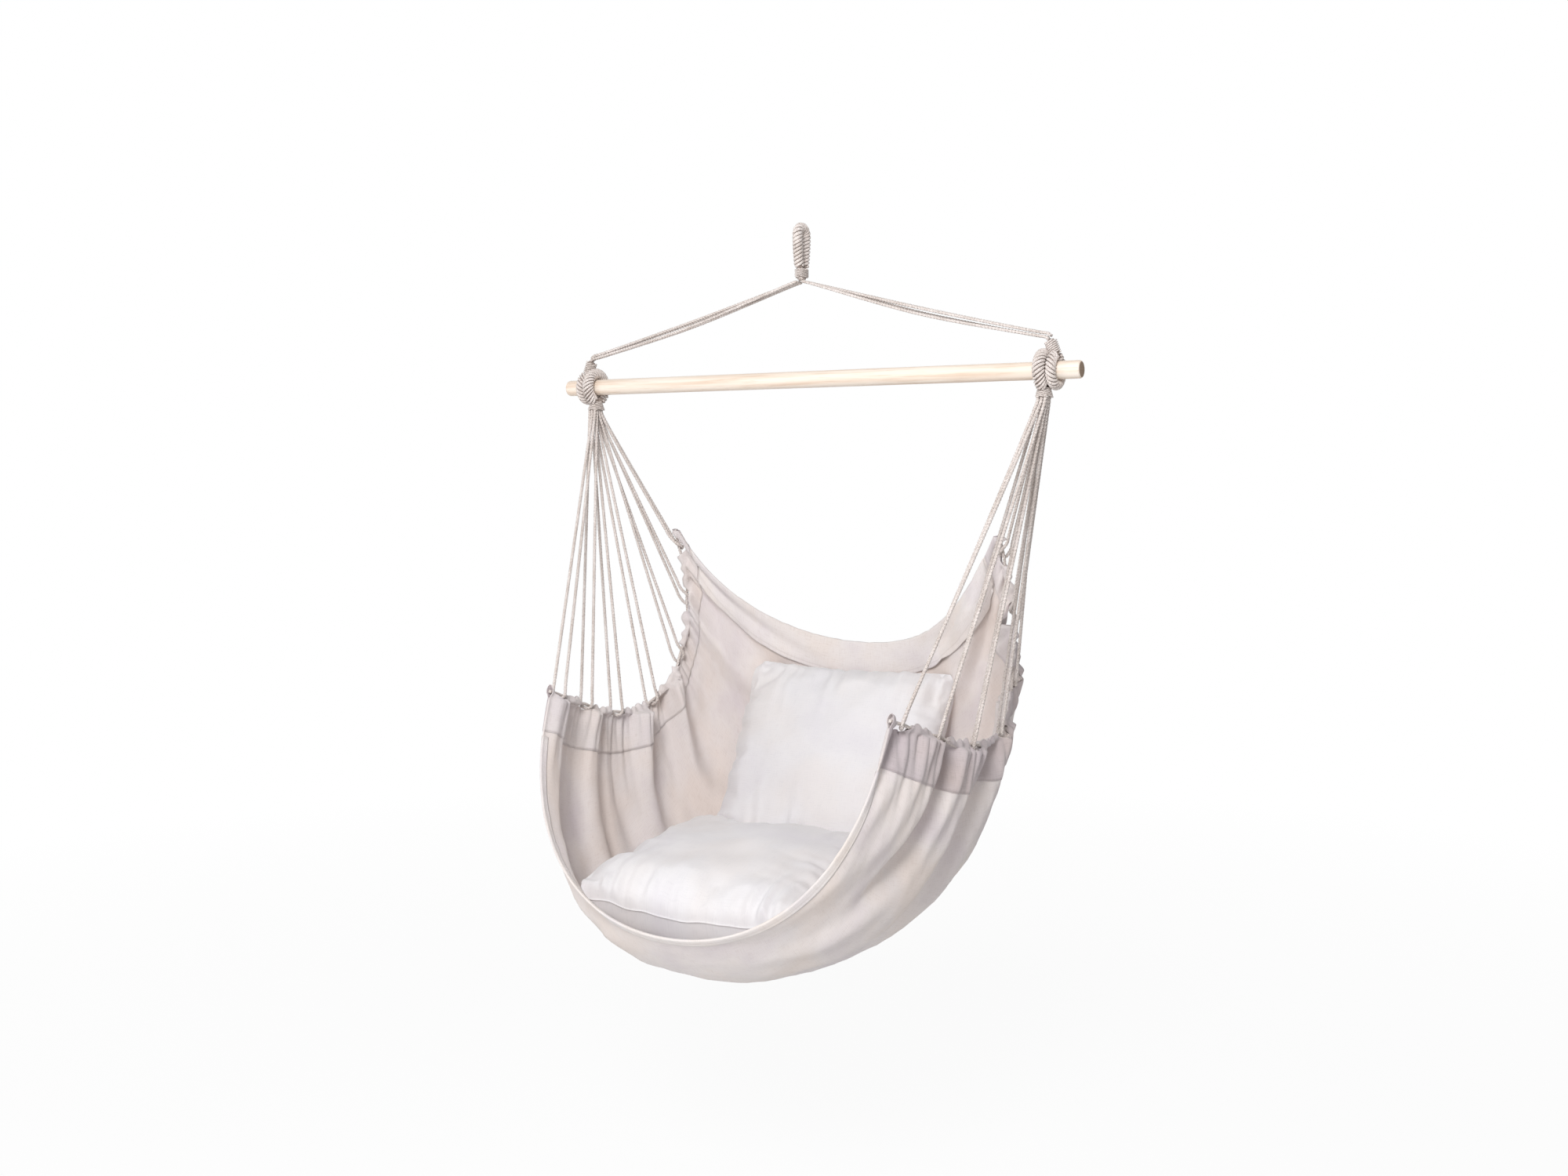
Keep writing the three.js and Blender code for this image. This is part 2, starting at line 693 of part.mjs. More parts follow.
// Each run of cord leaves the neck on its own side of the bundle: sorted front to back, then inner to outer
function clewSlots(hand, targets) {
  const rowsDeep = 3;
  const neck = vec(hand * clewPlace, 0, clewNeckBottom);
  const runs = targets.map((target, n) => {
    const way = target.clone().sub(neck);
    return { n, back: way.y / -way.z, outer: (hand * way.x) / -way.z };
  });
  runs.sort((a, b) => a.back - b.back);
  const slots = [];
  const columns = Math.ceil(runs.length / rowsDeep);
  for (let c = 0; c < columns; c++) {
    const group = runs.slice(c * rowsDeep, (c + 1) * rowsDeep).sort((a, b) => a.outer - b.outer);
    group.forEach((run, row) => {
      const x = hand * (clewPlace + (row - (group.length - 1) / 2) * clewSlotSpacing);
      const y = (c - (columns - 1) / 2) * clewSlotSpacing;
      slots[run.n] = vec(x, y, clewNeckBottom - clearance);
    });
  }
  return slots;
}

function makeClewEye(hand, side) {
  const place = hand * clewPlace;
  const ring = ringSolid(place, clewRing, clewRopeRadius);
  const neckTop = -clewRing;
  const height = neckTop - clewNeckBottom;
  const neck = new THREE.CylinderGeometry(clewRopeRadius, clewNeckHalfY, height, bundleSides);
  neck.rotateX(Math.PI / 2);
  neck.scale(clewNeckHalfX / clewNeckHalfY, 1, 1);
  neck.translate(place, 0, neckTop - height / 2);
  addPiece(belowBar, `${side}_clew_eye`, toGeometry(ring.add(toSolid(neck))), finishes.cord);
  const openHalfAngle = (clewRopeRadius + 4 * bindingRadius) / clewRing;
  ringBinding(`${side}_clew_eye_binding`, place, clewRing, clewRopeRadius, openHalfAngle, -1);
}

function makeEdge(hand, side) {
  const column = hand < 0 ? 0 : acrossLines.length - 1;
  const step = hand < 0 ? 1 : -1;
  const core = grid.map((row, i) => edgeFrame(column, i).core);
  const way = walk(core);

  // edge cord, from one loop past the front corner to one past the back corner
  addPiece(belowBar, `${side}_edge_cord`, tube(core, edgeCordRadius, cordSides, false), finishes.cord);

  // channel: the doubled strip over the edge cord, with a notch at each loop
  const crownInner = edgeCordRadius + clearance + crownSlack;
  const crownOuter = crownInner + channelWall;
  const stations = grid.map((row, i) => {
    const f = edgeFrame(column, i);
    const outerLeg = stripGap + channelWall;
    const foot = column + step;
    const crown = (radius, side) => f.core.clone()
      .add(f.up.clone().multiplyScalar(radius * (side === 0 ? crownTopShare : crownBendShare)))
      .add(f.normal.clone().multiplyScalar(radius * side * crownSideShare));
    return [
      gridOffset(i, foot, outerLeg), gridOffset(i, column, outerLeg + legSlack),
      crown(crownOuter, 1), crown(crownOuter, 0), crown(crownOuter, -1),
      gridOffset(i, column, -outerLeg - legSlack), gridOffset(i, foot, -outerLeg),
      gridOffset(i, foot, -stripGap), gridOffset(i, column, -stripGap - legSlack),
      crown(crownInner, -1), crown(crownInner, 0), crown(crownInner, 1),
      gridOffset(i, column, stripGap + legSlack), gridOffset(i, foot, stripGap),
    ];
  });
  const footLine = column + step;
  const legLines = [footLine, column, column, column, column, column, footLine];
  const lines = [...legLines, ...legLines];
  let channel = toSolid(loopSkin(stations, lines));

  // clew loops, each down one side of the edge cord, under it and up the other side
  const neck = vec(hand * clewPlace, 0, clewNeckBottom);
  const inset = loopHalf + cordRadius;
  const bends = [];
  for (let n = 0; n < loopCount; n++) {
    const place = inset + loopPlaceShares[n] * (way.total - 2 * inset);
    const middle = way.at(place);
    const tangent = way.at(place + loopHalf).sub(way.at(place - loopHalf)).normalize();
    const pull = neck.clone().sub(middle);
    const up = pull.sub(tangent.clone().multiplyScalar(pull.dot(tangent))).normalize();
    const out = tangent.clone().cross(up).multiplyScalar(hand).normalize();
    bends.push(bendShares.map((share) => way.at(place + share[0] * loopHalf)
      .add(up.clone().multiplyScalar(share[1] * loopSideReach))
      .add(out.clone().multiplyScalar(share[2] * loopSideReach))));
    const notch = new THREE.CylinderGeometry(notchRadius, notchRadius, 2 * notchHalf, notchSides);
    notch.applyQuaternion(new THREE.Quaternion().setFromUnitVectors(vec(0, 1, 0), tangent));
    notch.translate(middle.x, middle.y, middle.z);
    channel = channel.subtract(toSolid(notch));
  }
  addPiece(belowBar, `${side}_edge_channel`, toGeometry(channel), finishes.canvas);

  const slots = clewSlots(hand, bends.flatMap((bend) => [bend[0], bend[bend.length - 1]]));
  bends.forEach((bend, n) => {
    const down = slots[2 * n];
    const back = slots[2 * n + 1];
    const drop = vec(0, 0, -slotStraight);
    const points = [down, down.clone().add(drop), ...bend, back.clone().add(drop), back];
    let length = 0;
    for (let i = 1; i < points.length; i++) {
      length += points[i].distanceTo(points[i - 1]);
    }
    const name = `${side}_clew_cord_${n + 1}`;
    console.log(`${name}: ${length.toFixed(0)} mm`);
    addPiece(belowBar, name, tube(points, cordRadius, cordSides, false, 1, vec(1, 0, 0)), finishes.cord);
  });
}

// Pillows: each a cover with a slit along one edge, and a filled insert
const coverThickness = 1.3;
const rimWall = 3.5;
const insertRoom = 0.8;
const insertRimRoom = 5;
const pillowPull = 14; // how far a side draws in between its corners
const pillowSteps = 8;
const pillowFullness = 0.75; // lower is fuller towards the edges
const pillowRoom = 0.6; // from the canvas
const slitLength = 150;
const slitDepth = 14;
const slitWidth = 3;


// A pillow's middle is at a share of the seat's depth from the front and of its height from the bottom.
const seatPillow = {
  name: 'seat_pillow', backShare: 0.357, upShare: 0.227, lean: 6,
  halfX: pillowWidth / 2, halfY: pillowDepth / 2, crown: 74, belly: 104, sag: 20, slitAt: 1,
};
const backPillow = {
  name: 'back_pillow', backShare: 0.803, upShare: 0.413, lean: 61.6,
  halfX: pillowWidth / 2, halfY: 188, crown: 60, belly: 96, sag: 0, slitAt: -1,
};

function pillowFrame(pillow) {
  const angle = THREE.MathUtils.degToRad(pillow.lean);
  const ex = vec(1, 0, 0);
  const ey = vec(0, Math.cos(angle), Math.sin(angle));
  const ez = ex.clone().cross(ey);
  const origin = vec(0, seatFront + pillow.backShare * seatDepth, pillow.upShare * seatHeight - seatBottomDrop);
  const place = (x, y, z) => origin.clone()
    .add(ex.clone().multiplyScalar(x)).add(ey.clone().multiplyScalar(y)).add(ez.clone().multiplyScalar(z));
  return { place, ez, angle, origin };
}

// How far along its own upright axis a pillow's spot has the canvas below it
function canvasBelow(frame, seatCloth, x, y) {
  const above = 150;
  const caster = new THREE.Raycaster(frame.place(x, y, above), frame.ez.clone().negate());
  const hits = caster.intersectObjects(seatCloth, false);
  return hits.length > 0 ? above - hits[0].distance : -Infinity;
}

function pillowSkin(pillow, frame, seatCloth, inset, thinner) {
  const n = pillowSteps;
  const shrinkX = (pillow.halfX - inset) / pillow.halfX;
  const shrinkY = (pillow.halfY - inset) / pillow.halfY;
  const topRows = [];
  const bottomRows = [];
  for (let i = 0; i <= n; i++) {
    const b = Math.sin((Math.PI / 2) * ((2 * i) / n - 1));
    const top = [];
    const bottom = [];
    for (let k = 0; k <= n; k++) {
      const a = Math.sin((Math.PI / 2) * ((2 * k) / n - 1));
      const x = a * shrinkX * (pillow.halfX - pillowPull * (1 - b * b));
      const y = b * shrinkY * (pillow.halfY - pillowPull * (1 - a * a));
      const full = Math.pow(Math.max((1 - a * a) * (1 - b * b), 0), pillowFullness / 2);
      // an inner skin keeps within the outer one, so it also heeds the canvas further out
      const here = canvasBelow(frame, seatCloth, x, y);
      const outside = canvasBelow(frame, seatCloth, x / shrinkX, y / shrinkY);
      const canvas = Math.max(here, outside) + pillowRoom;
      const lowerCanvas = Math.min(here, outside) + pillowRoom;
      const share = x / pillow.halfX;
      const sagLine = pillow.sag * (share * share - 1);
      const middle = Math.max(sagLine, canvas + (1 - full) * pillowRoom);
      const low = Math.max(middle - pillow.belly * full, canvas);
      const upperMiddle = Math.max(sagLine, lowerCanvas + (1 - full) * pillowRoom);
      const rimMiddle = full === 0 ? (middle + upperMiddle) / 2 : upperMiddle;
      top.push(frame.place(x, y, rimMiddle + (pillow.crown - thinner) * full));
      bottom.push(frame.place(x, y, Math.min(low + thinner * full, middle)));
    }
    topRows.push(top);
    bottomRows.push(bottom);
  }
  // the two faces share the points of the rim
  const side = n + 1;
  const onRim = (i, k) => i === 0 || k === 0 || i === n || k === n;
  const topAt = (i, k) => i * side + k;
  const bottomAt = (i, k) => (onRim(i, k) ? topAt(i, k) : side * side + i * side + k);
  const triangles = [];
  for (let i = 0; i < n; i++) {
    for (let k = 0; k < n; k++) {
      for (const [at, turn] of [[topAt, 1], [bottomAt, -1]]) {
        const a = at(i, k);
        const b = turn > 0 ? at(i, k + 1) : at(i + 1, k);
        const c = at(i + 1, k + 1);
        const d = turn > 0 ? at(i + 1, k) : at(i, k + 1);
        triangles.push(a, b, c, a, c, d);
      }
    }
  }
  return outward(meshFrom([...topRows.flat(), ...bottomRows.flat()], triangles));
}

function makePillow(pillow, seatCloth) {
  const frame = pillowFrame(pillow);
  const outer = toSolid(pillowSkin(pillow, frame, seatCloth, 0, 0));
  const inner = toSolid(pillowSkin(pillow, frame, seatCloth, rimWall, coverThickness));
  const slit = new THREE.BoxGeometry(slitLength, slitDepth, slitWidth);
  slit.rotateX(frame.angle);
  const at = frame.place(0, pillow.slitAt * (pillow.halfY - pillowPull), -pillow.sag);
  slit.translate(at.x, at.y, at.z);
  const cover = outer.subtract(inner).subtract(toSolid(slit));
  addPiece(belowBar, `${pillow.name}_cover`, toGeometry(cover), finishes.pillow);
  const insert = pillowSkin(pillow, frame, seatCloth, rimWall + insertRimRoom, coverThickness + insertRoom);
  addPiece(belowBar, `${pillow.name}_insert`, insert, finishes.filling);
}

makeBar();
makeHangingEye();
makeNeck();
for (const [hand, side] of [[-1, 'left'], [1, 'right']]) {
  makeSuspensionEye(hand, side);
  makeSuspensionCords(hand, side);
  makeClewEye(hand, side);
  makeEdge(hand, side);
}
makeSling();
makeFoldedStrip('front_hem', [0, 1]);
const lastRow = alongLines.length - 1;
makeFoldedStrip('back_band', [lastRow, lastRow - 1, lastRow - 2]);
const seatClothNames = ['sling', 'front_hem', 'back_band'];
const seatCloth = seatClothNames.map((name) => {
  const copy = belowBar.children.find((piece) => piece.name === name).clone();
  copy.material.side = THREE.DoubleSide;
  return copy;
});
makePillow(seatPillow, seatCloth);
makePillow(backPillow, seatCloth);

export default chair;
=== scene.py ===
# Hammock chair for Blender 4.5: a canvas sling with two pillows under a wooden spreader bar.
# Metres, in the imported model's frame: the origin is the hang point, +X along the bar, the seat faces -Y.
import math

import bmesh
import bpy
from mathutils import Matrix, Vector, noise
from mathutils.bvhtree import BVHTree


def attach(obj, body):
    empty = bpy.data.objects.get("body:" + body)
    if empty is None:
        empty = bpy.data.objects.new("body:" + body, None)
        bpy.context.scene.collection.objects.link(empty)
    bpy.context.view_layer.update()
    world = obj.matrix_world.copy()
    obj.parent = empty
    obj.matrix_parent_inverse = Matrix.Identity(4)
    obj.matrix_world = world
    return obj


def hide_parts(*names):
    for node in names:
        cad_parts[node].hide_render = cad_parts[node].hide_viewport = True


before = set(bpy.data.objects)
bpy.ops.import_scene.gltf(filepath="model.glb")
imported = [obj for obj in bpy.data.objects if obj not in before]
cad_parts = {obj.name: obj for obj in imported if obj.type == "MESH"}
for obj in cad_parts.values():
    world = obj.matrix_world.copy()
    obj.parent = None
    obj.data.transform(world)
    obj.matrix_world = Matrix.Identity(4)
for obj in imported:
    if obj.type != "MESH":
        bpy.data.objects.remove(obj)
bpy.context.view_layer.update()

barDrop = 0.251  # hang point down to the bar
cordRadius = 0.0027
laidRadius = 0.003  # a clew cord over its strands
bindingRadius = 0.0016
clearance = 0.0003
white = (1, 1, 1)
tiny = 1e-6
sides = ((-1, "left"), (1, "right"))
sideways = Vector((1, 0, 0))
forward = Vector((0, 1, 0))
upward = Vector((0, 0, 1))

# Camera, at the place from which the photograph was taken
cameraView = {"place": (1.336, -2.318, -0.423), "turn": 30.6, "lens": 36, "sensor": 36, "drop": 0.0685}


def makeCamera():
    data = bpy.data.cameras.new("camera")
    data.lens = cameraView["lens"]
    data.sensor_width = cameraView["sensor"]
    data.shift_y = -cameraView["drop"]
    camera = bpy.data.objects.new("camera", data)
    camera.location = cameraView["place"]
    camera.rotation_euler = (math.pi / 2, 0, math.radians(cameraView["turn"]))
    bpy.context.scene.collection.objects.link(camera)
    bpy.context.scene.camera = camera


makeCamera()
print("camera placed")

# Studio: white surroundings for the camera, plain soft light for the object
studio = {
    "floorHeight": -1.64,
    "floorSize": 16,
    "floorGlow": 0.93,
    "floorFade": (0.4, 2.4),
    "floorPaint": (0.95, 0.9),
    "ambient": 0.4,
    "aim": (0, -0.05, -0.85),
    "key": {"place": (0.9, -3.0, 1.1), "size": 1.3, "power": 89},
    "fill": {"place": (-1.5, -2.1, -1.05), "size": 0.9, "power": 9},
}


def addLamp(name, settings):
    data = bpy.data.lights.new(name, "AREA")
    data.shape = "DISK"
    data.size = settings["size"]
    data.energy = settings["power"]
    lamp = bpy.data.objects.new(name, data)
    lamp.location = settings["place"]
    aim = Vector(studio["aim"]) - lamp.location
    lamp.rotation_euler = aim.to_track_quat("-Z", "Y").to_euler()
    bpy.context.scene.collection.objects.link(lamp)


def seenDirectly(tree):
    # 1 for rays from the camera, and for those that carry a reflection or a view through glass
    rays = tree.nodes.new("ShaderNodeLightPath")
    first = tree.nodes.new("ShaderNodeMath")
    first.operation = "MAXIMUM"
    second = tree.nodes.new("ShaderNodeMath")
    second.operation = "MAXIMUM"
    tree.links.new(rays.outputs["Is Camera Ray"], first.inputs[0])
    tree.links.new(rays.outputs["Is Glossy Ray"], first.inputs[1])
    tree.links.new(first.outputs[0], second.inputs[0])
    tree.links.new(rays.outputs["Is Transmission Ray"], second.inputs[1])
    return second.outputs[0]


def makeStudio():
    world = bpy.data.worlds.new("studio")
    bpy.context.scene.world = world
    world.use_nodes = True
    tree = world.node_tree
    ambient = tree.nodes["Background"]
    ambient.inputs["Color"].default_value = (*white, 1)
    ambient.inputs["Strength"].default_value = studio["ambient"]
    bright = tree.nodes.new("ShaderNodeBackground")
    bright.inputs["Color"].default_value = (*white, 1)
    bright.inputs["Strength"].default_value = 1
    mix = tree.nodes.new("ShaderNodeMixShader")
    tree.links.new(seenDirectly(tree), mix.inputs[0])
    tree.links.new(ambient.outputs[0], mix.inputs[1])
    tree.links.new(bright.outputs[0], mix.inputs[2])
    tree.links.new(mix.outputs[0], tree.nodes["World Output"].inputs["Surface"])
    addLamp("key", studio["key"])
    addLamp("fill", studio["fill"])

    bm = bmesh.new()
    bmesh.ops.create_grid(bm, x_segments=1, y_segments=1, size=studio["floorSize"])
    bmesh.ops.translate(bm, verts=bm.verts, vec=(0, 0, studio["floorHeight"]))
    mesh = bpy.data.meshes.new("floor")
    bm.to_mesh(mesh)
    bm.free()
    floor = bpy.data.objects.new("floor", mesh)
    bpy.context.scene.collection.objects.link(floor)
    material = bpy.data.materials.new("floor")
    material.use_nodes = True
    tree = material.node_tree
    paint = tree.nodes["Principled BSDF"]
    grey, roughness = studio["floorPaint"]
    paint.inputs["Base Color"].default_value = (grey, grey, grey, 1)
    paint.inputs["Roughness"].default_value = roughness
    glow = tree.nodes.new("ShaderNodeEmission")
    glow.inputs["Color"].default_value = (*white, 1)
    # near the object the floor keeps a little shadow; further out it is as white as the surroundings
    place = tree.nodes.new("ShaderNodeTexCoord")
    distance = tree.nodes.new("ShaderNodeVectorMath")
    distance.operation = "LENGTH"
    tree.links.new(place.outputs["Object"], distance.inputs[0])
    away = tree.nodes.new("ShaderNodeMath")
    away.operation = "SUBTRACT"
    away.inputs[1].default_value = -studio["floorHeight"]
    tree.links.new(distance.outputs["Value"], away.inputs[0])
    fade = tree.nodes.new("ShaderNodeMapRange")
    fade.inputs["From Min"].default_value = studio["floorFade"][0]
    fade.inputs["From Max"].default_value = studio["floorFade"][1]
    fade.inputs["To Min"].default_value = studio["floorGlow"]
    fade.inputs["To Max"].default_value = 1
    tree.links.new(away.outputs[0], fade.inputs["Value"])
    share = tree.nodes.new("ShaderNodeMath")
    share.operation = "MULTIPLY"
    mix = tree.nodes.new("ShaderNodeMixShader")
    tree.links.new(seenDirectly(tree), share.inputs[0])
    tree.links.new(fade.outputs[0], share.inputs[1])
    tree.links.new(share.outputs[0], mix.inputs[0])
    tree.links.new(paint.outputs[0], mix.inputs[1])
    tree.links.new(glow.outputs[0], mix.inputs[2])
    tree.links.new(mix.outputs[0], tree.nodes["Material Output"].inputs["Surface"])
    mesh.materials.append(material)
    bpy.context.scene.view_settings.view_transform = "Standard"


makeStudio()
print("studio lit")


# Materials. Fibres, weave and grain are read from object or cloth coordinates.
gloss = 0.25


def newMaterial(name, roughness, sheen):
    material = bpy.data.materials.new(name)
    material.use_nodes = True
    tree = material.node_tree
    shader = tree.nodes["Principled BSDF"]
    shader.inputs["Roughness"].default_value = roughness
    shader.inputs["Sheen Weight"].default_value = sheen
    shader.inputs["Specular IOR Level"].default_value = gloss
    return material, tree, shader


def addNoise(tree, coordinates, scale, detail=2, stretch=(1, 1, 1)):
    mapping = tree.nodes.new("ShaderNodeMapping")
    mapping.inputs["Scale"].default_value = stretch
    pattern = tree.nodes.new("ShaderNodeTexNoise")
    pattern.inputs["Scale"].default_value = scale
    pattern.inputs["Detail"].default_value = detail
    tree.links.new(coordinates, mapping.inputs["Vector"])
    tree.links.new(mapping.outputs[0], pattern.inputs["Vector"])
    return pattern.outputs["Fac"]


def addRamp(tree, value, stops):
    ramp = tree.nodes.new("ShaderNodeValToRGB")
    ramp.color_ramp.elements[0].position = stops[0][0]
    ramp.color_ramp.elements[0].color = (*stops[0][1], 1)
    ramp.color_ramp.elements[1].position = stops[-1][0]
    ramp.color_ramp.elements[1].color = (*stops[-1][1], 1)
    for place, colour in stops[1:-1]:
        ramp.color_ramp.elements.new(place).color = (*colour, 1)
    tree.links.new(value, ramp.inputs[0])
    return ramp.outputs["Color"]


def addMath(tree, operation, first, second=None):
    node = tree.nodes.new("ShaderNodeMath")
    node.operation = operation
    for slot, value in enumerate((first, second)):
        if value is None:
            continue
        if isinstance(value, (int, float)):
            node.inputs[slot].default_value = value
        else:
            tree.links.new(value, node.inputs[slot])
    return node.outputs[0]


def addTint(tree, colour, other, amount):
    mix = tree.nodes.new("ShaderNodeMix")
    mix.data_type = "RGBA"
    mix.blend_type = "MULTIPLY"
    mix.inputs["Factor"].default_value = amount
    tree.links.new(colour, mix.inputs[6])
    tree.links.new(other, mix.inputs[7])
    return mix.outputs[2]


def addBump(tree, shader, height, strength, distance):
    bump = tree.nodes.new("ShaderNodeBump")
    bump.inputs["Strength"].default_value = strength
    bump.inputs["Distance"].default_value = distance
    tree.links.new(height, bump.inputs["Height"])
    tree.links.new(bump.outputs[0], shader.inputs["Normal"])


fibres = {
    "roughness": 0.9, "sheen": 0.25, "flecks": 700, "detail": 3, "places": (0.3, 0.43, 0.6),
    "fuzz": 1600, "relief": 0.5,
    "depth": 0.0004, "soiling": 30, "soiled": [(0.35, (0.86, 0.84, 0.82)), (0.65, white)],
}


def makeCordMaterial(name, tones):
    # tones: painted shade for the gaps between fibres, the cord's body, and a painted highlight for its lit
    # fibres, scattered as flecks
    material, tree, shader = newMaterial(name, fibres["roughness"], fibres["sheen"])
    place = tree.nodes.new("ShaderNodeTexCoord").outputs["Object"]
    flecks = addNoise(tree, place, fibres["flecks"], fibres["detail"])
    soiling = addNoise(tree, place, fibres["soiling"])
    colour = addRamp(tree, flecks, list(zip(fibres["places"], tones)))
    soiled = addRamp(tree, soiling, fibres["soiled"])
    tree.links.new(addTint(tree, colour, soiled, 1), shader.inputs["Base Color"])
    addBump(tree, shader, addNoise(tree, place, fibres["fuzz"]), fibres["relief"], fibres["depth"])
    return material


wood = {
    "roughness": 0.5, "grain": 9, "grainDetail": 5, "grainStretch": (0.5, 14, 14),
    "pores": 60, "poreDetail": 3, "poreStretch": (0.25, 12, 12),
    "grainTones": [
        (0.3, (0.74, 0.58, 0.46)), (0.45, (0.86, 0.73, 0.62)), (0.55, (0.9, 0.8, 0.7)),
        (0.7, (0.92, 0.83, 0.75)),
    ],
    "poreTones": [(0.32, (0.78, 0.7, 0.62)), (0.42, white)], "poreShare": 0.7, "relief": 0.12,
    "depth": 0.0005,
}
# the end faces are darker than the side grain: partly the wood's own colour across the grain, partly
# painted shade
endGrainAndShade = {
    "roughness": 0.75, "heart": (0, 0.02, 0.263), "rings": 110, "waver": 1.5, "relief": 0.2,
    "depth": 0.0003, "tones": [(0.1, (0.2, 0.14, 0.1)), (0.8, (0.42, 0.31, 0.23))],
}


def makeWoodMaterial():
    material, tree, shader = newMaterial("pale wood", wood["roughness"], 0)
    place = tree.nodes.new("ShaderNodeTexCoord").outputs["Object"]
    grain = addNoise(tree, place, wood["grain"], wood["grainDetail"], wood["grainStretch"])
    pores = addNoise(tree, place, wood["pores"], wood["poreDetail"], wood["poreStretch"])
    colour = addRamp(tree, grain, wood["grainTones"])
    dark = addRamp(tree, pores, wood["poreTones"])
    tree.links.new(addTint(tree, colour, dark, wood["poreShare"]), shader.inputs["Base Color"])
    addBump(tree, shader, pores, wood["relief"], wood["depth"])
    return material


def makeEndGrainAndShadeMaterial():
    material, tree, shader = newMaterial("end grain with painted shade", endGrainAndShade["roughness"], 0)
    place = tree.nodes.new("ShaderNodeTexCoord").outputs["Object"]
    mapping = tree.nodes.new("ShaderNodeMapping")
    mapping.inputs["Location"].default_value = endGrainAndShade["heart"]
    rings = tree.nodes.new("ShaderNodeTexWave")
    rings.wave_type = "RINGS"
    rings.rings_direction = "X"
    rings.inputs["Scale"].default_value = endGrainAndShade["rings"]
    rings.inputs["Distortion"].default_value = endGrainAndShade["waver"]
    tree.links.new(place, mapping.inputs["Vector"])
    tree.links.new(mapping.outputs[0], rings.inputs["Vector"])
    colour = addRamp(tree, rings.outputs["Fac"], endGrainAndShade["tones"])
    tree.links.new(colour, shader.inputs["Base Color"])
    addBump(tree, shader, rings.outputs["Fac"], endGrainAndShade["relief"], endGrainAndShade["depth"])
    return material


def addStitches(tree, parts, seam, stitch):
    # a sunk line at a distance from the cloth's fold, with the thread's stitches standing in it
    across = addMath(tree, "ABSOLUTE", parts.outputs[0])
    off = addMath(tree, "ABSOLUTE", addMath(tree, "SUBTRACT", across, seam))
    groove = addMath(tree, "LESS_THAN", off, stitch["groove"])
    step = addMath(tree, "FRACT", addMath(tree, "DIVIDE", parts.outputs[1], stitch["pitch"]))
    thread = addMath(tree, "LESS_THAN", off, stitch["thread"])
    thread = addMath(tree, "MULTIPLY", thread, addMath(tree, "LESS_THAN", step, stitch["share"]))
    return groove, thread


weaving = {
    "roughness": 0.92, "sheen": 0.3, "slubs": 60, "detail": 3, "slubStretch": 12, "slubPlaces": (0.36, 0.5),
    "patches": 6, "patchTones": [(0.32, (0.9, 0.885, 0.93)), (0.47, white), (0.62, (1, 0.965, 0.925))],
    "weaveShare": 0.35, "threadRise": 2, "depth": 0.0006,
}


def makeClothMaterial(name, warp, light, dark, relief, glow, patchy=1, seam=0):
    # warp is the distance between threads; the cloth's UV is in metres
    material, tree, shader = newMaterial(name, weaving["roughness"], weaving["sheen"])
    cloth = tree.nodes.new("ShaderNodeTexCoord").outputs["UV"]
    parts = tree.nodes.new("ShaderNodeSeparateXYZ")
    tree.links.new(cloth, parts.inputs[0])
    across = addMath(tree, "SINE", addMath(tree, "MULTIPLY", parts.outputs[0], 2 * math.pi / warp))
    along = addMath(tree, "SINE", addMath(tree, "MULTIPLY", parts.outputs[1], 2 * math.pi / warp))
    weave = addMath(tree, "MULTIPLY", across, along)
    detail = weaving["detail"]
    slubs = addNoise(tree, cloth, weaving["slubs"], detail, (1, weaving["slubStretch"], 1))
    threads = addNoise(tree, cloth, weaving["slubs"], detail, (weaving["slubStretch"], 1, 1))
    both = addMath(tree, "MULTIPLY", addMath(tree, "ADD", slubs, threads), 1 / 2)
    colour = addRamp(tree, both, list(zip(weaving["slubPlaces"], (dark, light))))
    patches = addRamp(tree, addNoise(tree, cloth, weaving["patches"], detail), weaving["patchTones"])
    colour = addTint(tree, colour, patches, patchy)
    height = addMath(tree, "ADD", addMath(tree, "MULTIPLY", weave, weaving["weaveShare"]), both)
    if seam:
        groove, thread = addStitches(tree, parts, seam, stitching)
        # the stitch groove is also darkened in colour: painted shade in the sunk line
        shade = addRamp(tree, groove, [(0, white), (1, stitching["shade"])])
        colour = addTint(tree, colour, shade, 1)
        height = addMath(tree, "SUBTRACT", height, groove)
        height = addMath(tree, "ADD", height, addMath(tree, "MULTIPLY", thread, weaving["threadRise"]))
    tree.links.new(colour, shader.inputs["Base Color"])
    addBump(tree, shader, height, relief, weaving["depth"])
    through = tree.nodes.new("ShaderNodeBsdfTranslucent")
    through.inputs["Color"].default_value = (*glowColour, 1)
    mix = tree.nodes.new("ShaderNodeMixShader")
    mix.inputs[0].default_value = glow
    tree.links.new(shader.outputs[0], mix.inputs[1])
    tree.links.new(through.outputs[0], mix.inputs[2])
    tree.links.new(mix.outputs[0], tree.nodes["Material Output"].inputs["Surface"])
    return material


# each lists painted shade between fibres, the body's colour and a painted highlight on lit fibres
cordShadeBodyHighlight = ((0.36, 0.29, 0.265), (0.7, 0.625, 0.59), (0.88, 0.82, 0.79))
coreShadeBodyHighlight = ((0.22, 0.17, 0.15), (0.4, 0.33, 0.3), (0.5, 0.42, 0.38))
glowColour = (0.95, 0.82, 0.72)
canvasLook = {
    "warp": 0.0013, "light": (0.88, 0.825, 0.815), "dark": (0.8, 0.735, 0.72), "relief": 0.35, "glow": 0.16,
}
doubleLook = {
    **canvasLook, "light": (0.88, 0.825, 0.81), "dark": (0.8, 0.735, 0.71), "relief": 0.45, "glow": 0.06,
}
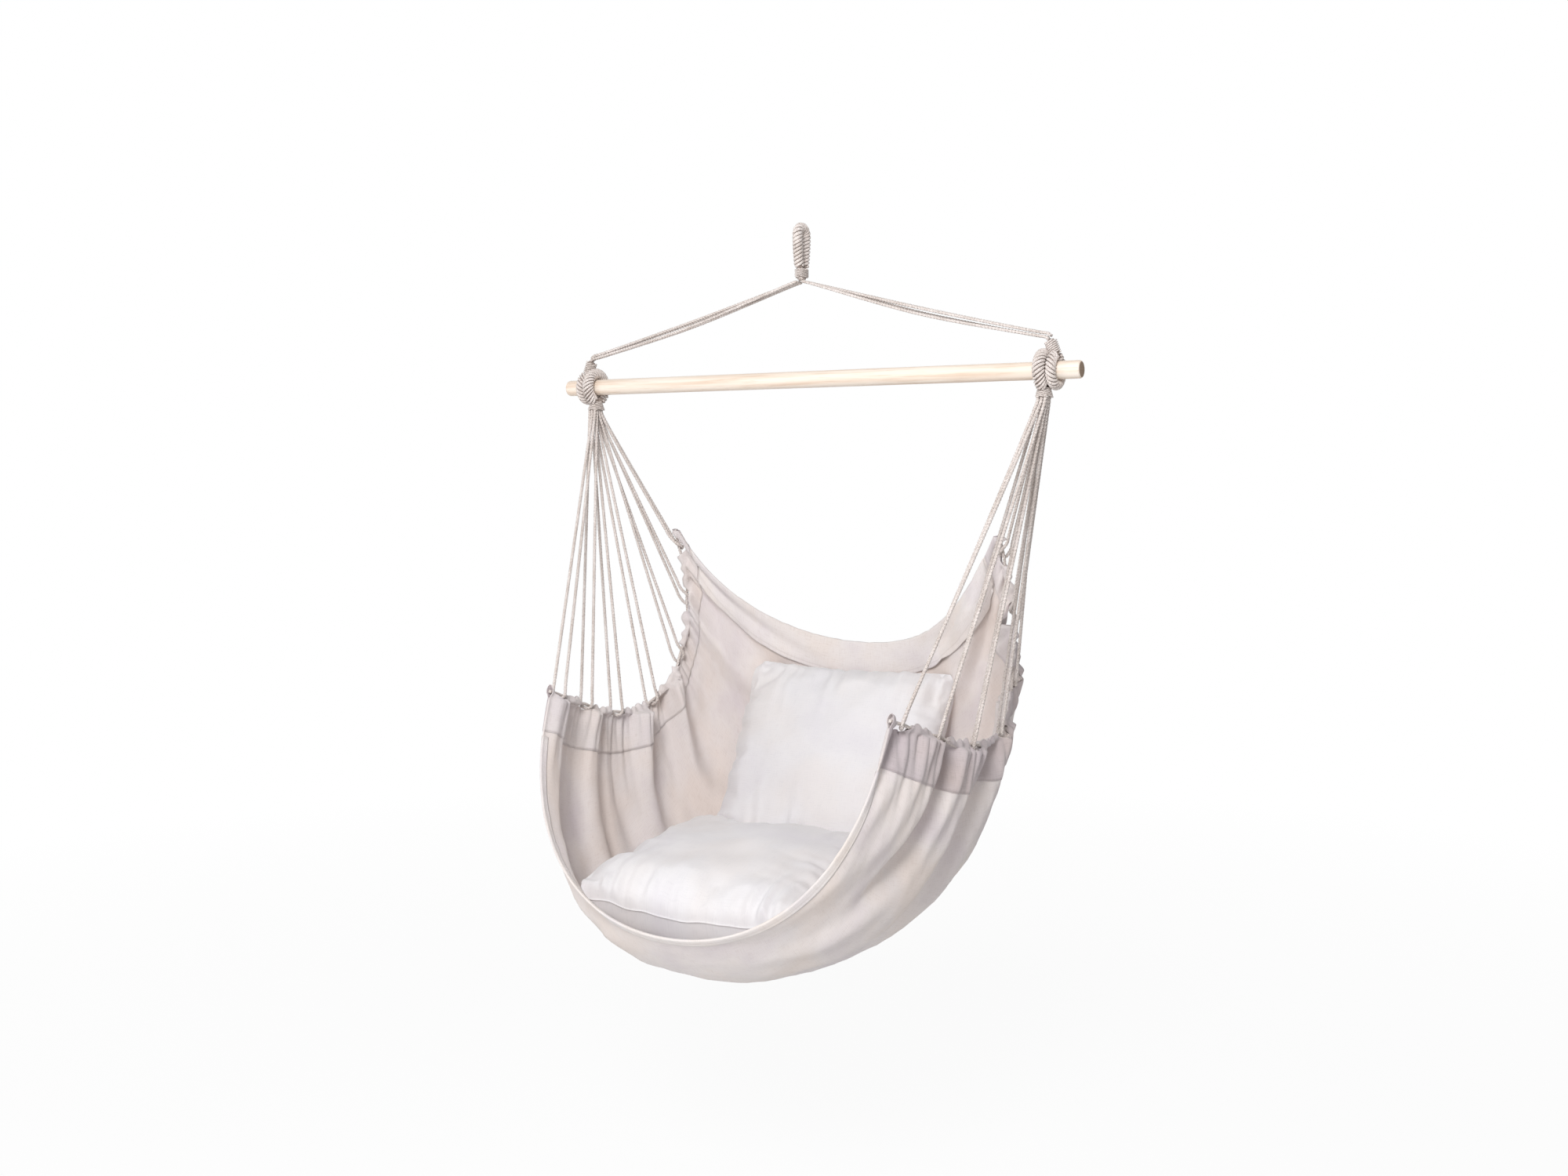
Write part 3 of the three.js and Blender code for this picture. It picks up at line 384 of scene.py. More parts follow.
# the channel's outer skin: a darker copy of the doubled canvas, which is painted shade
channelShadedLook = {**doubleLook, "light": (0.62, 0.55, 0.56), "dark": (0.54, 0.475, 0.48)}
innerLook = {**doubleLook, "light": (0.82, 0.76, 0.75), "dark": (0.74, 0.675, 0.66)}
pillowLook = {
    "warp": 0.0009, "light": (0.8, 0.78, 0.795), "dark": (0.76, 0.74, 0.76), "relief": 0.2, "glow": 0,
    "patchy": 0.55,
}
# the colour under the key named shade darkens the stitch groove, and it is painted shade
stitching = {"groove": 0.0012, "thread": 0.0005, "pitch": 0.004, "share": 0.7, "shade": (0.93, 0.92, 0.915)}
seams = {"hem": 0.0092, "band": 0.056, "channel": 0.0024}

cordMaterial = makeCordMaterial("cotton cord", cordShadeBodyHighlight)
coreMaterial = makeCordMaterial("rope core", coreShadeBodyHighlight)
woodMaterial = makeWoodMaterial()
endGrainAndShadeMaterial = makeEndGrainAndShadeMaterial()
canvasMaterial = makeClothMaterial("canvas", **canvasLook)
hemMaterial = makeClothMaterial("canvas hem", **doubleLook, seam=seams["hem"])
bandMaterial = makeClothMaterial("canvas band", **doubleLook, seam=seams["band"])
channelShadedMaterial = makeClothMaterial("canvas channel outside, painted shade", **channelShadedLook, seam=seams["channel"])
innerMaterial = makeClothMaterial("inner canvas of the channel", **innerLook, seam=seams["channel"])
pillowMaterial = makeClothMaterial("pillow cotton", **pillowLook)
print("materials made")


# Paths and tubes
def catmullRom(points, share):
    # centripetal spline through the points, which are taken as evenly spread over 0 to 1
    spans = len(points) - 1
    i = min(int(share * spans), spans - 1)
    w = share * spans - i
    b, c = points[i], points[i + 1]
    a = points[i - 1] if i > 0 else 2 * b - c
    d = points[i + 2] if i + 2 <= spans else 2 * c - b
    first, middle, last = (max(math.sqrt(step.length), tiny) for step in (b - a, c - b, d - c))
    leave = ((b - a) / first - (c - a) / (first + middle) + (c - b) / middle) * middle
    arrive = ((c - b) / middle - (d - b) / (middle + last) + (d - c) / last) * middle
    square = 3 * (c - b) - 2 * leave - arrive
    cube = 2 * (b - c) + leave + arrive
    return b + leave * w + square * w**2 + cube * w**3


def runLengths(points):
    lengths = [0]
    for a, b in zip(points, points[1:]):
        lengths.append(lengths[-1] + (b - a).length)
    return lengths


def pointAt(points, lengths, distance):
    k = 1
    while k < len(points) - 1 and lengths[k] < distance:
        k += 1
    share = (distance - lengths[k - 1]) / max(lengths[k] - lengths[k - 1], tiny)
    return points[k - 1].lerp(points[k], min(max(share, 0), 1))


def spaced(points, step):
    lengths = runLengths(points)
    count = max(round(lengths[-1] / step), 2)
    return [pointAt(points, lengths, lengths[-1] * i / count) for i in range(count + 1)]


finePerSpan = 16


def smoothPath(points, step):
    fine = finePerSpan * (len(points) - 1)
    return spaced([catmullRom(points, i / fine) for i in range(fine + 1)], step)


def layGrid(bm, rows):
    # a grid of faces whose points are moved to the rows of places
    across = len(rows[0])
    verts = bmesh.ops.create_grid(bm, x_segments=across - 1, y_segments=len(rows) - 1)["verts"]
    for vert, place in zip(verts, [place for row in rows for place in row]):
        vert.co = place
    return verts


def sweep(bm, path, section, firstSide, closed=False, sideRow=None):
    # the section turns as little as it can, or follows a list of sideways directions
    count = len(path)
    side = firstSide
    rings = []
    for i in range(count):
        before = path[i - 1] if closed or i > 0 else path[0]
        after = path[(i + 1) % count] if closed or i < count - 1 else path[-1]
        along = (after - before).normalized()
        side = sideRow[i] if sideRow else side
        side = (side - along * side.dot(along)).normalized()
        across = along.cross(side)
        ring = [path[i] + side * a + across * b for a, b in section(i)]
        rings.append(ring + ring[:1])
    layGrid(bm, rings + rings[:1] if closed else rings)


def roundSection(radius, count, otherRadius=None):
    other = otherRadius or radius
    turns = [2 * math.pi * k / count for k in range(count)]
    return lambda i: [(math.cos(t) * radius, math.sin(t) * other) for t in turns]


cordLay = {"strands": 3, "pitch": 0.017, "groove": 0.34, "step": 0.0019, "sides": 12, "steep": 0.8}


def laidSection(radius):
    # strands laid up: a lobed section that turns along the cord
    groove = cordLay["groove"]
    count = cordLay["sides"]

    def section(i):
        lay = 2 * math.pi * i * cordLay["step"] / cordLay["pitch"]
        result = []
        for k in range(count):
            t = 2 * math.pi * k / count
            r = radius * (1 - groove + groove * abs(math.cos(cordLay["strands"] / 2 * t)))
            result.append((math.cos(t + lay) * r, math.sin(t + lay) * r))
        return result

    return section


def newPiece(name, bm, body, materials, replaced):
    bmesh.ops.recalc_face_normals(bm, faces=bm.faces)
    mesh = bpy.data.meshes.new(name)
    bm.to_mesh(mesh)
    bm.free()
    for polygon in mesh.polygons:
        polygon.use_smooth = True
    for material in materials:
        mesh.materials.append(material)
    piece = bpy.data.objects.new(name, mesh)
    bpy.context.scene.collection.objects.link(piece)
    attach(piece, body)
    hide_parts(*replaced)
    return piece


def newRope(name, bm, body, material, replaced):
    # each swept tube is joined along its seam and shut at its ends
    bmesh.ops.remove_doubles(bm, verts=bm.verts, dist=tiny)
    bmesh.ops.holes_fill(bm, edges=[rim for rim in bm.edges if rim.is_boundary])
    newPiece(name, bm, body, [material], [replaced])


def makeCord(name, points, radius, body, replaced):
    path = smoothPath(points, cordLay["step"])
    bm = bmesh.new()
    first = sideways if abs((path[1] - path[0]).normalized().x) < cordLay["steep"] else upward
    sweep(bm, path, laidSection(radius), first)
    newRope(name, bm, body, cordMaterial, replaced)


winding = {"perTurn": 28, "sides": 8, "overlap": 0.86, "thick": 1.4}


def addWinding(bm, spine, turns, strands):
    # strands wound side by side: each is pressed flat until it meets the next
    perTurn = winding["perTurn"]
    last = round(turns * perTurn)
    for strand in range(strands):
        path, outs, stands = [], [], []
        for i in range(last + 1):
            t = 2 * math.pi * (i / perTurn + strand / strands)
            centre, side, across, reach, otherReach = spine(i / last)
            path.append(centre + side * (math.cos(t) * reach) + across * (math.sin(t) * otherReach))
            outs.append(side * math.cos(t) + across * math.sin(t))
            stands.append((reach + otherReach) / 2)

        def flattened(i):
            near = max(min(i, last - perTurn), 0)
            advance = (path[min(near + perTurn, last)] - path[near]).length
            around = 2 * math.pi * stands[i]
            wide = advance / (2 * strands) * around / math.hypot(advance, around) * winding["overlap"]
            turned = [2 * math.pi * k / winding["sides"] for k in range(winding["sides"])]
            return [(math.cos(a) * bindingRadius * winding["thick"], math.sin(a) * wide) for a in turned]

        sweep(bm, path, flattened, outs[0], sideRow=outs)


# Spreader bar: a turned rod with eased ends
bar = {"length": 1, "radius": 0.0143, "endRound": 0.004, "grainDepth": 0.0004, "facets": 64, "endSteps": 6}


def makeBar():
    half = bar["length"] / 2
    ease = bar["endRound"]
    steps = bar["endSteps"]
    flat = bar["radius"] - ease
    profile = [Vector((-half, 0, 0)), Vector((-half, 0, flat))]
    for k in range(1, steps + 1):
        t = math.pi / 2 * k / steps
        profile.append(Vector((-half + ease * (1 - math.cos(t)), 0, flat + ease * math.sin(t))))
    profile += [Vector((-p.x, 0, p.z)) for p in reversed(profile)]
    bm = bmesh.new()
    verts = [bm.verts.new(p) for p in profile]
    edges = [bm.edges.new(pair) for pair in zip(verts, verts[1:])]
    bmesh.ops.spin(
        bm, geom=verts + edges, cent=(0, 0, 0), axis=(1, 0, 0), angle=2 * math.pi,
        steps=bar["facets"], use_merge=True, use_duplicate=False,
    )
    bmesh.ops.remove_doubles(bm, verts=bm.verts, dist=tiny)
    bmesh.ops.translate(bm, verts=bm.verts, vec=(0, 0, -barDrop))
    for face in bm.faces:
        if abs(face.calc_center_median().x) > half - bar["grainDepth"]:
            face.material_index = 1
    newPiece("wooden_bar", bm, "bar", [woodMaterial, endGrainAndShadeMaterial], ["spreader_bar"])


makeBar()
print("bar turned")

# Hanging eye: a loop of rope wholly covered by a winding
hangingEye = {
    "rope": 0.0046, "holeHalf": 0.0056, "foot": 0.0608, "bend": 0.01423, "footHalf": 0.0078,
    "turns": 8, "strands": 3, "bare": 0.02, "step": 0.001, "nearSteps": 3, "sides": 12,
    "legSteps": 8, "crownSteps": 12,
}
neck = {
    "halfX": 0.0066, "halfY": 0.0116, "ball": 0.078, "ballRadius": 0.007, "turns": 1.3, "strands": 4,
    "strand": 0.0029, "sides": 9, "rows": ((-1, 3), (1, 3), (0, 4)), "apart": 1.25, "bendAt": 0.4,
    "footX": 0.9, "footY": 0.62, "footRise": 0.35,
}


def makeHangingEye():
    # up one leg, over the crown and down the other; the legs come together at the foot
    crown = -hangingEye["holeHalf"]
    bend = hangingEye["bend"]
    leg = crown + hangingEye["foot"]
    legSteps = hangingEye["legSteps"]
    crownSteps = hangingEye["crownSteps"]
    rising = []
    for k in range(legSteps):
        down = 1 - k / legSteps
        y = bend - (bend - hangingEye["footHalf"]) * down * down
        rising.append(Vector((0, -y, crown - leg * down)))
    over = []
    for k in range(crownSteps + 1):
        t = math.pi * k / crownSteps
        over.append(Vector((0, -math.cos(t) * bend, crown + math.sin(t) * bend)))
    falling = [Vector((0, -p.y, p.z)) for p in reversed(rising)]
    path = smoothPath(rising + over + falling, hangingEye["step"])
    bm = bmesh.new()
    sweep(bm, path, roundSection(hangingEye["rope"], hangingEye["sides"]), sideways)
    newRope("hanging_eye_rope", bm, "hanging_eye", coreMaterial, "hanging_eye")

    lengths = runLengths(path)
    bare = hangingEye["bare"]
    near = hangingEye["nearSteps"] * hangingEye["step"]
    reach = hangingEye["rope"] + clearance + bindingRadius

    def spine(share):
        distance = lengths[-1] * (bare + share * (1 - 2 * bare))
        way = pointAt(path, lengths, distance + near) - pointAt(path, lengths, distance - near)
        across = way.normalized().cross(sideways)
        return pointAt(path, lengths, distance), sideways, across, reach, reach

    bm = bmesh.new()
    addWinding(bm, spine, hangingEye["turns"], hangingEye["strands"])
    newRope("hanging_eye_whipping", bm, "hanging_eye", cordMaterial, "hanging_eye_binding")


def makeNeck():
    # strands side by side inside an oval whipping; they round over at the foot, where the cords part
    top = -hangingEye["foot"] - clearance
    low = -neck["ball"] - neck["ballRadius"]
    strand = neck["strand"]
    bm = bmesh.new()
    for across, count in neck["rows"]:
        x = across * strand
        for k in range(count):
            y = (k - (count - 1) / 2) * 2 * strand
            start = Vector((x * neck["apart"], y, top))
            middle = Vector((x * neck["apart"], y, top + (low - top) * neck["bendAt"]))
            end = Vector((x * neck["footX"], y * neck["footY"], low + strand + abs(y) * neck["footRise"]))
            path = smoothPath([start, middle, end], hangingEye["step"])
            sweep(bm, path, roundSection(strand, neck["sides"]), sideways)
    newRope("neck_strands", bm, "neck", cordMaterial, "neck")

    run = neck["ball"] + top - 2 * bindingRadius
    stand = clearance + bindingRadius

    def spine(share):
        centre = Vector((0, 0, top - bindingRadius - share * run))
        return centre, sideways, forward, neck["halfX"] + stand, neck["halfY"] + stand

    bm = bmesh.new()
    addWinding(bm, spine, neck["turns"], neck["strands"])
    newRope("neck_whipping", bm, "neck", cordMaterial, "neck_binding")


makeHangingEye()
makeNeck()
print("hanging eye wound")

# Rope eyes round the bar, all covered by windings; the cords run into their necks
suspension = {
    "place": 0.457, "rope": 0.0044, "ring": 0.02302, "open": 0.3, "up": 1, "turns": 5.5, "strands": 4,
    "neckTop": 0.047, "neckHalf": 0.0064, "neckBow": 0.0018, "coveredFrom": 0.12, "neckTurns": 1.6,
    "lean": 0.009, "spacing": 0.0059, "sags": (0.02, 0.006, 0.004, 0.014), "rows": (-1.5, -0.5, 0.5, 1.5),
    "clusters": ((-0.5, -0.5), (-0.5, 0.5), (0.5, 0.5), (0.5, -0.5)),
    "start": (0.0052, 0.0062), "leave": (0.012, 0.0076), "landing": 0.002, "rise": (0.05, 0.012, 0.0008),
}
clew = {
    "place": 0.43787, "rope": 0.0062, "ring": 0.02497, "open": 0.42, "up": -1, "turns": 5, "strands": 5,
    "neckBottom": -0.042, "neckHalfX": 0.0098, "neckHalfY": 0.0156, "covered": (0.06, 0.96),
    "neckTurns": 1.1, "spacing": 0.00595, "steps": 8,
}
ringSteps = {"ring": 48, "sides": 14, "neck": 0.002}


def addRing(bm, place, eye):
    # the rope ring itself; returns the line that its winding follows
    def around(t, up):
        return Vector((0, math.sin(t), math.cos(t) * up))

    centre = Vector((place, 0, -barDrop))
    count = ringSteps["ring"]
    ring = [centre + around(2 * math.pi * k / count, 1) * eye["ring"] for k in range(count)]
    sweep(bm, ring, roundSection(eye["rope"], ringSteps["sides"]), sideways, closed=True)
    reach = eye["rope"] + clearance + bindingRadius

    def spine(share):
        out = around(eye["open"] + share * 2 * (math.pi - eye["open"]), eye["up"])
        return centre + out * eye["ring"], sideways, out, reach, reach

    return spine


def makeSuspensionEye(hand, side):
    place = hand * suspension["place"]
    half = suspension["neckHalf"] - clearance
    bm = bmesh.new()
    spine = addRing(bm, place, suspension)
    end = Vector((place - hand * suspension["lean"], 0, suspension["neckTop"] - barDrop))
    foot = Vector((place, 0, suspension["ring"] - barDrop))
    middle = foot.lerp(end, 1 / 2) + sideways * (hand * suspension["neckBow"])
    neckPath = smoothPath([foot, middle, end], ringSteps["neck"])
    sweep(bm, neckPath, roundSection(half, ringSteps["sides"]), forward)
    eye = f"{side}_suspension_eye"
    newRope(f"{side}_suspension_rope", bm, "suspension", coreMaterial, eye)

    bm = bmesh.new()
    addWinding(bm, spine, suspension["turns"], suspension["strands"])
    start = foot.lerp(end, suspension["coveredFrom"])
    way = (end - foot).normalized()
    across = way.cross(forward).normalized()
    reach = suspension["neckHalf"] + clearance + bindingRadius

    def neckSpine(share):
        return start.lerp(end - way * bindingRadius, share), forward, across, reach, reach

    addWinding(bm, neckSpine, suspension["neckTurns"], suspension["strands"])
    newRope(f"{side}_suspension_whipping", bm, "suspension", cordMaterial, f"{eye}_binding")


def makeSuspensionCords(hand, side):
    apex = Vector((0, 0, -neck["ball"]))
    end = Vector((hand * (suspension["place"] - suspension["lean"]), 0, suspension["neckTop"] - barDrop))
    run = (end - apex).length
    spacing = suspension["spacing"]
    late, later, lift = suspension["rise"]
    for n, (across, along) in enumerate(suspension["clusters"]):
        row = suspension["rows"][n] * spacing
        ends = (suspension["start"], suspension["leave"])
        start, leave = (Vector((hand * out, row, apex.z - down)) for out, down in ends)
        landing = end + Vector((along * spacing / 2, across * spacing, cordRadius + clearance))
        landing.z += spacing if along > 0 else 0
        middle = leave.lerp(landing, 1 / 2)
        middle.z -= suspension["sags"][n] * run
        middle.y += across * spacing
        rise = landing.lerp(leave, late)
        bend = landing.lerp(leave, later) + upward * lift
        points = [start, leave, middle, rise, bend, landing - upward * suspension["landing"]]
        name = f"{side}_suspension_cord_{n + 1}"
        makeCord(f"{side}_suspension_line_{n + 1}", points, cordRadius, "suspension", name)


def makeClewEye(hand, side):
    place = hand * clew["place"]
    bm = bmesh.new()
    spine = addRing(bm, place, clew)
    top = -barDrop - clew["ring"]
    bottom = -barDrop + clew["neckBottom"]

    def halves(share):
        x = clew["rope"] + (clew["neckHalfX"] - clew["rope"]) * share
        y = clew["rope"] + (clew["neckHalfY"] - clew["rope"]) * share
        return x, y

    def cone(i):
        x, y = halves(i / clew["steps"])
        return roundSection(x - clearance, ringSteps["sides"], y - clearance)(i)

    path = [Vector((place, 0, top + (bottom - top) * k / clew["steps"])) for k in range(clew["steps"] + 1)]
    sweep(bm, path, cone, sideways)
    newRope(f"{side}_clew_rope", bm, "seat", coreMaterial, f"{side}_clew_eye")

    first, last = clew["covered"]

    def neckSpine(share):
        grow = first + (last - first) * share
        x, y = halves(grow)
        stand = clearance + bindingRadius
        return Vector((place, 0, top + (bottom - top) * grow)), sideways, forward, x + stand, y + stand

    bm = bmesh.new()
    addWinding(bm, spine, clew["turns"], clew["strands"])
    addWinding(bm, neckSpine, clew["neckTurns"], clew["strands"])
    newRope(f"{side}_clew_whipping", bm, "seat", cordMaterial, f"{side}_clew_eye_binding")


for hand, side in sides:
    makeSuspensionEye(hand, side)
    makeSuspensionCords(hand, side)
    makeClewEye(hand, side)
print("eyes and suspension cords made")

# Canvas surface. Each rail has eight stations from the front hem to the back band:
# x is a share of the half width, y of the depth from the front, z of the height from the bottom.
seat = {"halfWidth": 0.37, "depth": 0.64, "height": 0.692, "bottom": 0.957, "front": -0.41, "half": 0.0008}
edgeShares = [
    (0.845, 0.186, 0.618), (0.885, 0.322, 0.58), (0.92, 0.469, 0.538), (0.932, 0.61, 0.52),
    (0.922, 0.74, 0.545), (0.895, 0.835, 0.635), (0.87, 0.865, 0.8), (0.85, 0.78, 1),
]
outerShares = [
    (0.82, 0.054, 0.31), (0.89, 0.186, 0.21), (0.88, 0.371, 0.16), (0.86, 0.557, 0.16),
    (0.84, 0.732, 0.22), (0.79, 0.898, 0.444), (0.72, 0.923, 0.66), (0.65, 0.82, 0.805),
]
innerShares = [
    (0.46, 0, 0.155), (0.55, 0.161, 0.03), (0.58, 0.4, 0), (0.58, 0.625, 0.045),
    (0.59, 0.791, 0.14), (0.58, 0.918, 0.321), (0.52, 0.991, 0.516), (0.38, 1.001, 0.704),
]
middleShares = [(0, y, z) for x, y, z in innerShares]
clothGrid = {"rows": 400, "halfColumns": 50, "edgeColumns": 9, "channelShare": 0.085, "crowding": 1.15}
folds = {
    "count": 5, "depth": 0.015, "reach": 0.85, "sharp": 0.34, "fade": 0.7, "slants": (0.04, 0.3), "seed": 0,
    "uneven": (0.8, 7, 0.3, 5), "wander": (1.5, 5, 1.6), "toEnds": 0.12, "plainEnds": 0.25,
}
smallFolds = {"count": 13, "depth": 0.0034, "wander": (4, 6, 2), "seed": 3}
pleats = {"count": 44, "depth": 0.0028, "reach": 0.07, "wander": (2.2, 13, 5), "seed": 9}
# slack cloth: for each size of dent its depth, and how fast it varies along and down the cloth
slackFrom = (0.05, 0.3)
slackTo = (0.75, 1)
drape = {"depth": 0.01, "rates": (3.1, 2.2, -0.6, 1.4), "seed": 20}
ripples = {"depth": 0.004, "rates": (10, 9, -2, 3), "seed": 31}
dents = {"depth": 0.0016, "rates": (40, 0, 0, 24), "seed": 40}


def railPoints(shares):
    low = seat["bottom"] + barDrop
    return [
        Vector((x * seat["halfWidth"], seat["front"] + y * seat["depth"], z * seat["height"] - low))
        for x, y, z in shares
    ]


def smoothStep(value, low, high):
    t = min(max((value - low) / (high - low), 0), 1)
    return t * t * (3 - 2 * t)


def clothLines():
    # shares of the half width: closer together under the edge channel
    near = clothGrid["edgeColumns"]
    channel = clothGrid["channelShare"]
    rest = clothGrid["halfColumns"] - near
    lines = [channel * k / near for k in range(near)]
    return lines + [channel + (1 - channel) * (k / rest) ** clothGrid["crowding"] for k in range(rest + 1)]


seedStep = 3.7  # sets the folds of the two halves of the canvas apart


def wandering(x, y, seed):
    return noise.noise(Vector((x, y, seed)))


def wanderingAt(x, y, rate, seed):
    return wandering(x * rate, y * rate, seed)


def waveTurn(waves, run, along, t, seed):
    amount, alongRate, downRate = waves["wander"]
    wander = wandering(along * alongRate, t * downRate, seed + waves["seed"])
    return 2 * math.pi * waves["count"] * run + amount * wander


def unevenness(form, along, t, seed):
    a, b, c, d = form["rates"]
    return wandering(along * a + t * b, along * c + t * d, seed + form["seed"]) * form["depth"]


def foldHeight(along, t, hand):
    # long soft folds hang from the edge, fine pleats only where it is gathered, slack drape lower down
    seed = seedStep * hand
    slanted = along + folds["slants"][0 if hand < 0 else 1] * t
    ends = math.sin(math.pi * along)
    inside = smoothStep(ends, 0, folds["plainEnds"])
    near = max(1 - t / folds["reach"], 0) ** folds["fade"] * smoothStep(ends, 0, folds["toEnds"])
    amount, rate, level, more = folds["uneven"]
    size = 1 + amount * wandering(along * rate, level, seed + more)
    turn = waveTurn(folds, slanted, along, t, seed)
    height = (math.sin(turn) - folds["sharp"] * math.cos(2 * turn)) * folds["depth"] * size * near
    height += math.sin(waveTurn(smallFolds, slanted, along, t, seed)) * smallFolds["depth"] * near
    pleat = math.cos(waveTurn(pleats, along, along, t, seed)) * pleats["depth"]
    height += pleat * math.exp(-t / pleats["reach"]) * inside
    slack = smoothStep(t, *slackFrom) * (1 - smoothStep(t, *slackTo))
    loose = unevenness(drape, along, t, seed) + unevenness(ripples, along, t, seed)
    return height + (loose * slack + unevenness(dents, along, t, seed)) * inside


def makeClothGrid():
    rails = [railPoints(shares) for shares in (edgeShares, outerShares, innerShares, middleShares)]
    half = clothLines()
    lines = half + [2 - t for t in reversed(half[:-1])]
    rows = clothGrid["rows"]
    plain = []
    for i in range(rows + 1):
        rim, outer, inner, middle = (catmullRom(rail, i / rows) for rail in rails)
        row = []
        for across in lines:
            t = min(across, 2 - across)
            q = 1 - t
            point = rim * q**3 + outer * (3 * q * q * t) + inner * (3 * q * t * t) + middle * t**3
            row.append(Vector((point.x if across > 1 else -point.x, point.y, point.z)))
        plain.append(row)
    return plain, lines


def gridNormals(grid):
    rows = len(grid)
    columns = len(grid[0])
    normals = []
    for i in range(rows):
        before = grid[max(i - 1, 0)]
        after = grid[min(i + 1, rows - 1)]
        row = []
        for k in range(columns):
            across = grid[i][min(k + 1, columns - 1)] - grid[i][max(k - 1, 0)]
            row.append(across.cross(after[k] - before[k]).normalized())
        normals.append(row)
    return normals


def foldCloth(plain, normals, lines):
    folded = []
    for i, row in enumerate(plain):
        along = i / clothGrid["rows"]
        heights = [foldHeight(along, min(t, 2 - t), 1 if t > 1 else -1) for t in lines]
        folded.append([point + normals[i][k] * heights[k] for k, point in enumerate(row)])
    return folded


plainGrid, clothAcross = makeClothGrid()
plainNormals = gridNormals(plainGrid)
canvasGrid = foldCloth(plainGrid, plainNormals, clothAcross)
canvasNormals = gridNormals(canvasGrid)
lastRow = clothGrid["rows"]
lastColumn = len(clothAcross) - 1


def onCanvas(i, k, distance):
    return canvasGrid[i][k] + canvasNormals[i][k] * distance


def addSkin(bm, stations, uvs, material=0):
    layer = bm.loops.layers.uv.verify()
    verts = layGrid(bm, stations)
    for vert, uv in zip(verts, [uv for row in uvs for uv in row]):
        for loop in vert.link_loops:
            loop[layer].uv = uv
            loop.face.material_index = material


def clothUvs(stations, start):
    # distances over the cloth in metres: across from the line numbered start, and along
    runs = runLengths([station[start] for station in stations])
    uvs = []
    for i, station in enumerate(stations):
        lengths = runLengths(station)
        uvs.append([(length - lengths[start], runs[i]) for length in lengths])
    return uvs


def thicken(piece, thickness):
    solid = piece.modifiers.new("thickness", "SOLIDIFY")
    solid.thickness = thickness
    solid.offset = 0


def makeSling():
    bm = bmesh.new()
    addSkin(bm, canvasGrid, clothUvs(canvasGrid, lastColumn // 2))
    across = runLengths(canvasGrid[lastRow // 2])[-1]
    along = runLengths([row[lastColumn // 2] for row in canvasGrid])[-1]
    area = sum(face.calc_area() for face in bm.faces)
    print(f"canvas measures {across:.3f} m across, {along:.3f} m along, {area:.3f} m2")
    piece = newPiece("canvas_sling", bm, "seat", [canvasMaterial], ["sling"])
    thicken(piece, 2 * seat["half"])
    return piece


hems = {
    "gap": 0.0016, "cloth": 0.0009, "front": 0.012, "back": 0.06,
    "standOff": {"front": 0.002, "back": 0.0085}, "lift": (0.35, 0.9, 6, 1), "sewnShare": 0.2,
    "ripple": 0.0017, "ripples": 26, "rippleSeed": 2,
}


def makeHem(name, edgeRow, step, end, material, replaced):
    # a folded strip over the canvas's end: up inside it, where it stands off a little, and down outside
    nearby = range(lastRow // 4)
    runs = runLengths([canvasGrid[edgeRow + step * n][lastColumn // 2] for n in nearby])
    count = sum(run < hems[end] for run in runs)
    least, uneven, rate, seed = hems["lift"]
    stations = []
    for k in range(clothGrid["edgeColumns"] + 1, lastColumn - clothGrid["edgeColumns"]):
        inward = (canvasGrid[edgeRow + step][k] - canvasGrid[edgeRow][k]).normalized()
        wave = wandering(clothAcross[k] * hems["ripples"], edgeRow, hems["rippleSeed"]) * hems["ripple"]
        lift = max(least + uneven * wandering(clothAcross[k] * rate, edgeRow, seed), 0)
        lift *= hems["standOff"][end]
        section = []
        for n in range(count, -1, -1):
            loose = smoothStep(n / count, hems["sewnShare"], 1)
            section.append(onCanvas(edgeRow + step * n, k, hems["gap"] + loose * (lift + max(wave, 0))))
        section.append(canvasGrid[edgeRow][k] - inward * (hems["gap"] + wave))
        section += [onCanvas(edgeRow + step * n, k, -hems["gap"]) for n in range(count + 1)]
        stations.append(section)
    bm = bmesh.new()
    addSkin(bm, stations, clothUvs(stations, count + 1))
    piece = newPiece(name, bm, "seat", [material], [replaced])
    thicken(piece, hems["cloth"])
    return piece


sling = makeSling()
frontHem = makeHem("front_hem_strip", 0, 1, "front", hemMaterial, "front_hem")
backBand = makeHem("back_band_strip", lastRow, -1, "back", bandMaterial, "back_band")
print("canvas, hem and band laid")

# Side edges: a cord in a channel of doubled canvas, with a loop of each clew cord let in through a notch
edge = {
    "cord": 0.003, "drop": 0.01, "cordRows": 5, "crown": 0.005, "stations": 560, "steps": 9,
    "places": (0.03, 0.175, 0.33, 0.49, 0.65, 0.81, 0.97), "loopHalf": 0.009, "notchHalf": 0.024,
    "notchDepth": 0.018, "droop": 0.006, "gap": 0.0014, "flare": 0.0007, "cloth": 0.0009, "weld": 0.00005,
}
# each rate comes with its seed
ruffles = {
    "pitch": 0.024, "rise": 0.0042, "wander": 6, "wanderRate": (17, 3), "unevenRate": (48, 4),
    "pucker": 0.34, "sway": 0.0045, "swayRate": (55, 6), "swayEnds": (0.5, 1.6),
}
loopShares = ((-1, 0, 1), (-0.55, -0.75, 0.8), (0, -1.06, 0), (0.55, -0.75, -0.8), (1, 0, -1))
loopLeave = {"up": 1.1, "on": 2.4, "further": 0.05}
clewEnd = {"deep": 3, "drop": 0.007, "inside": 0.004}


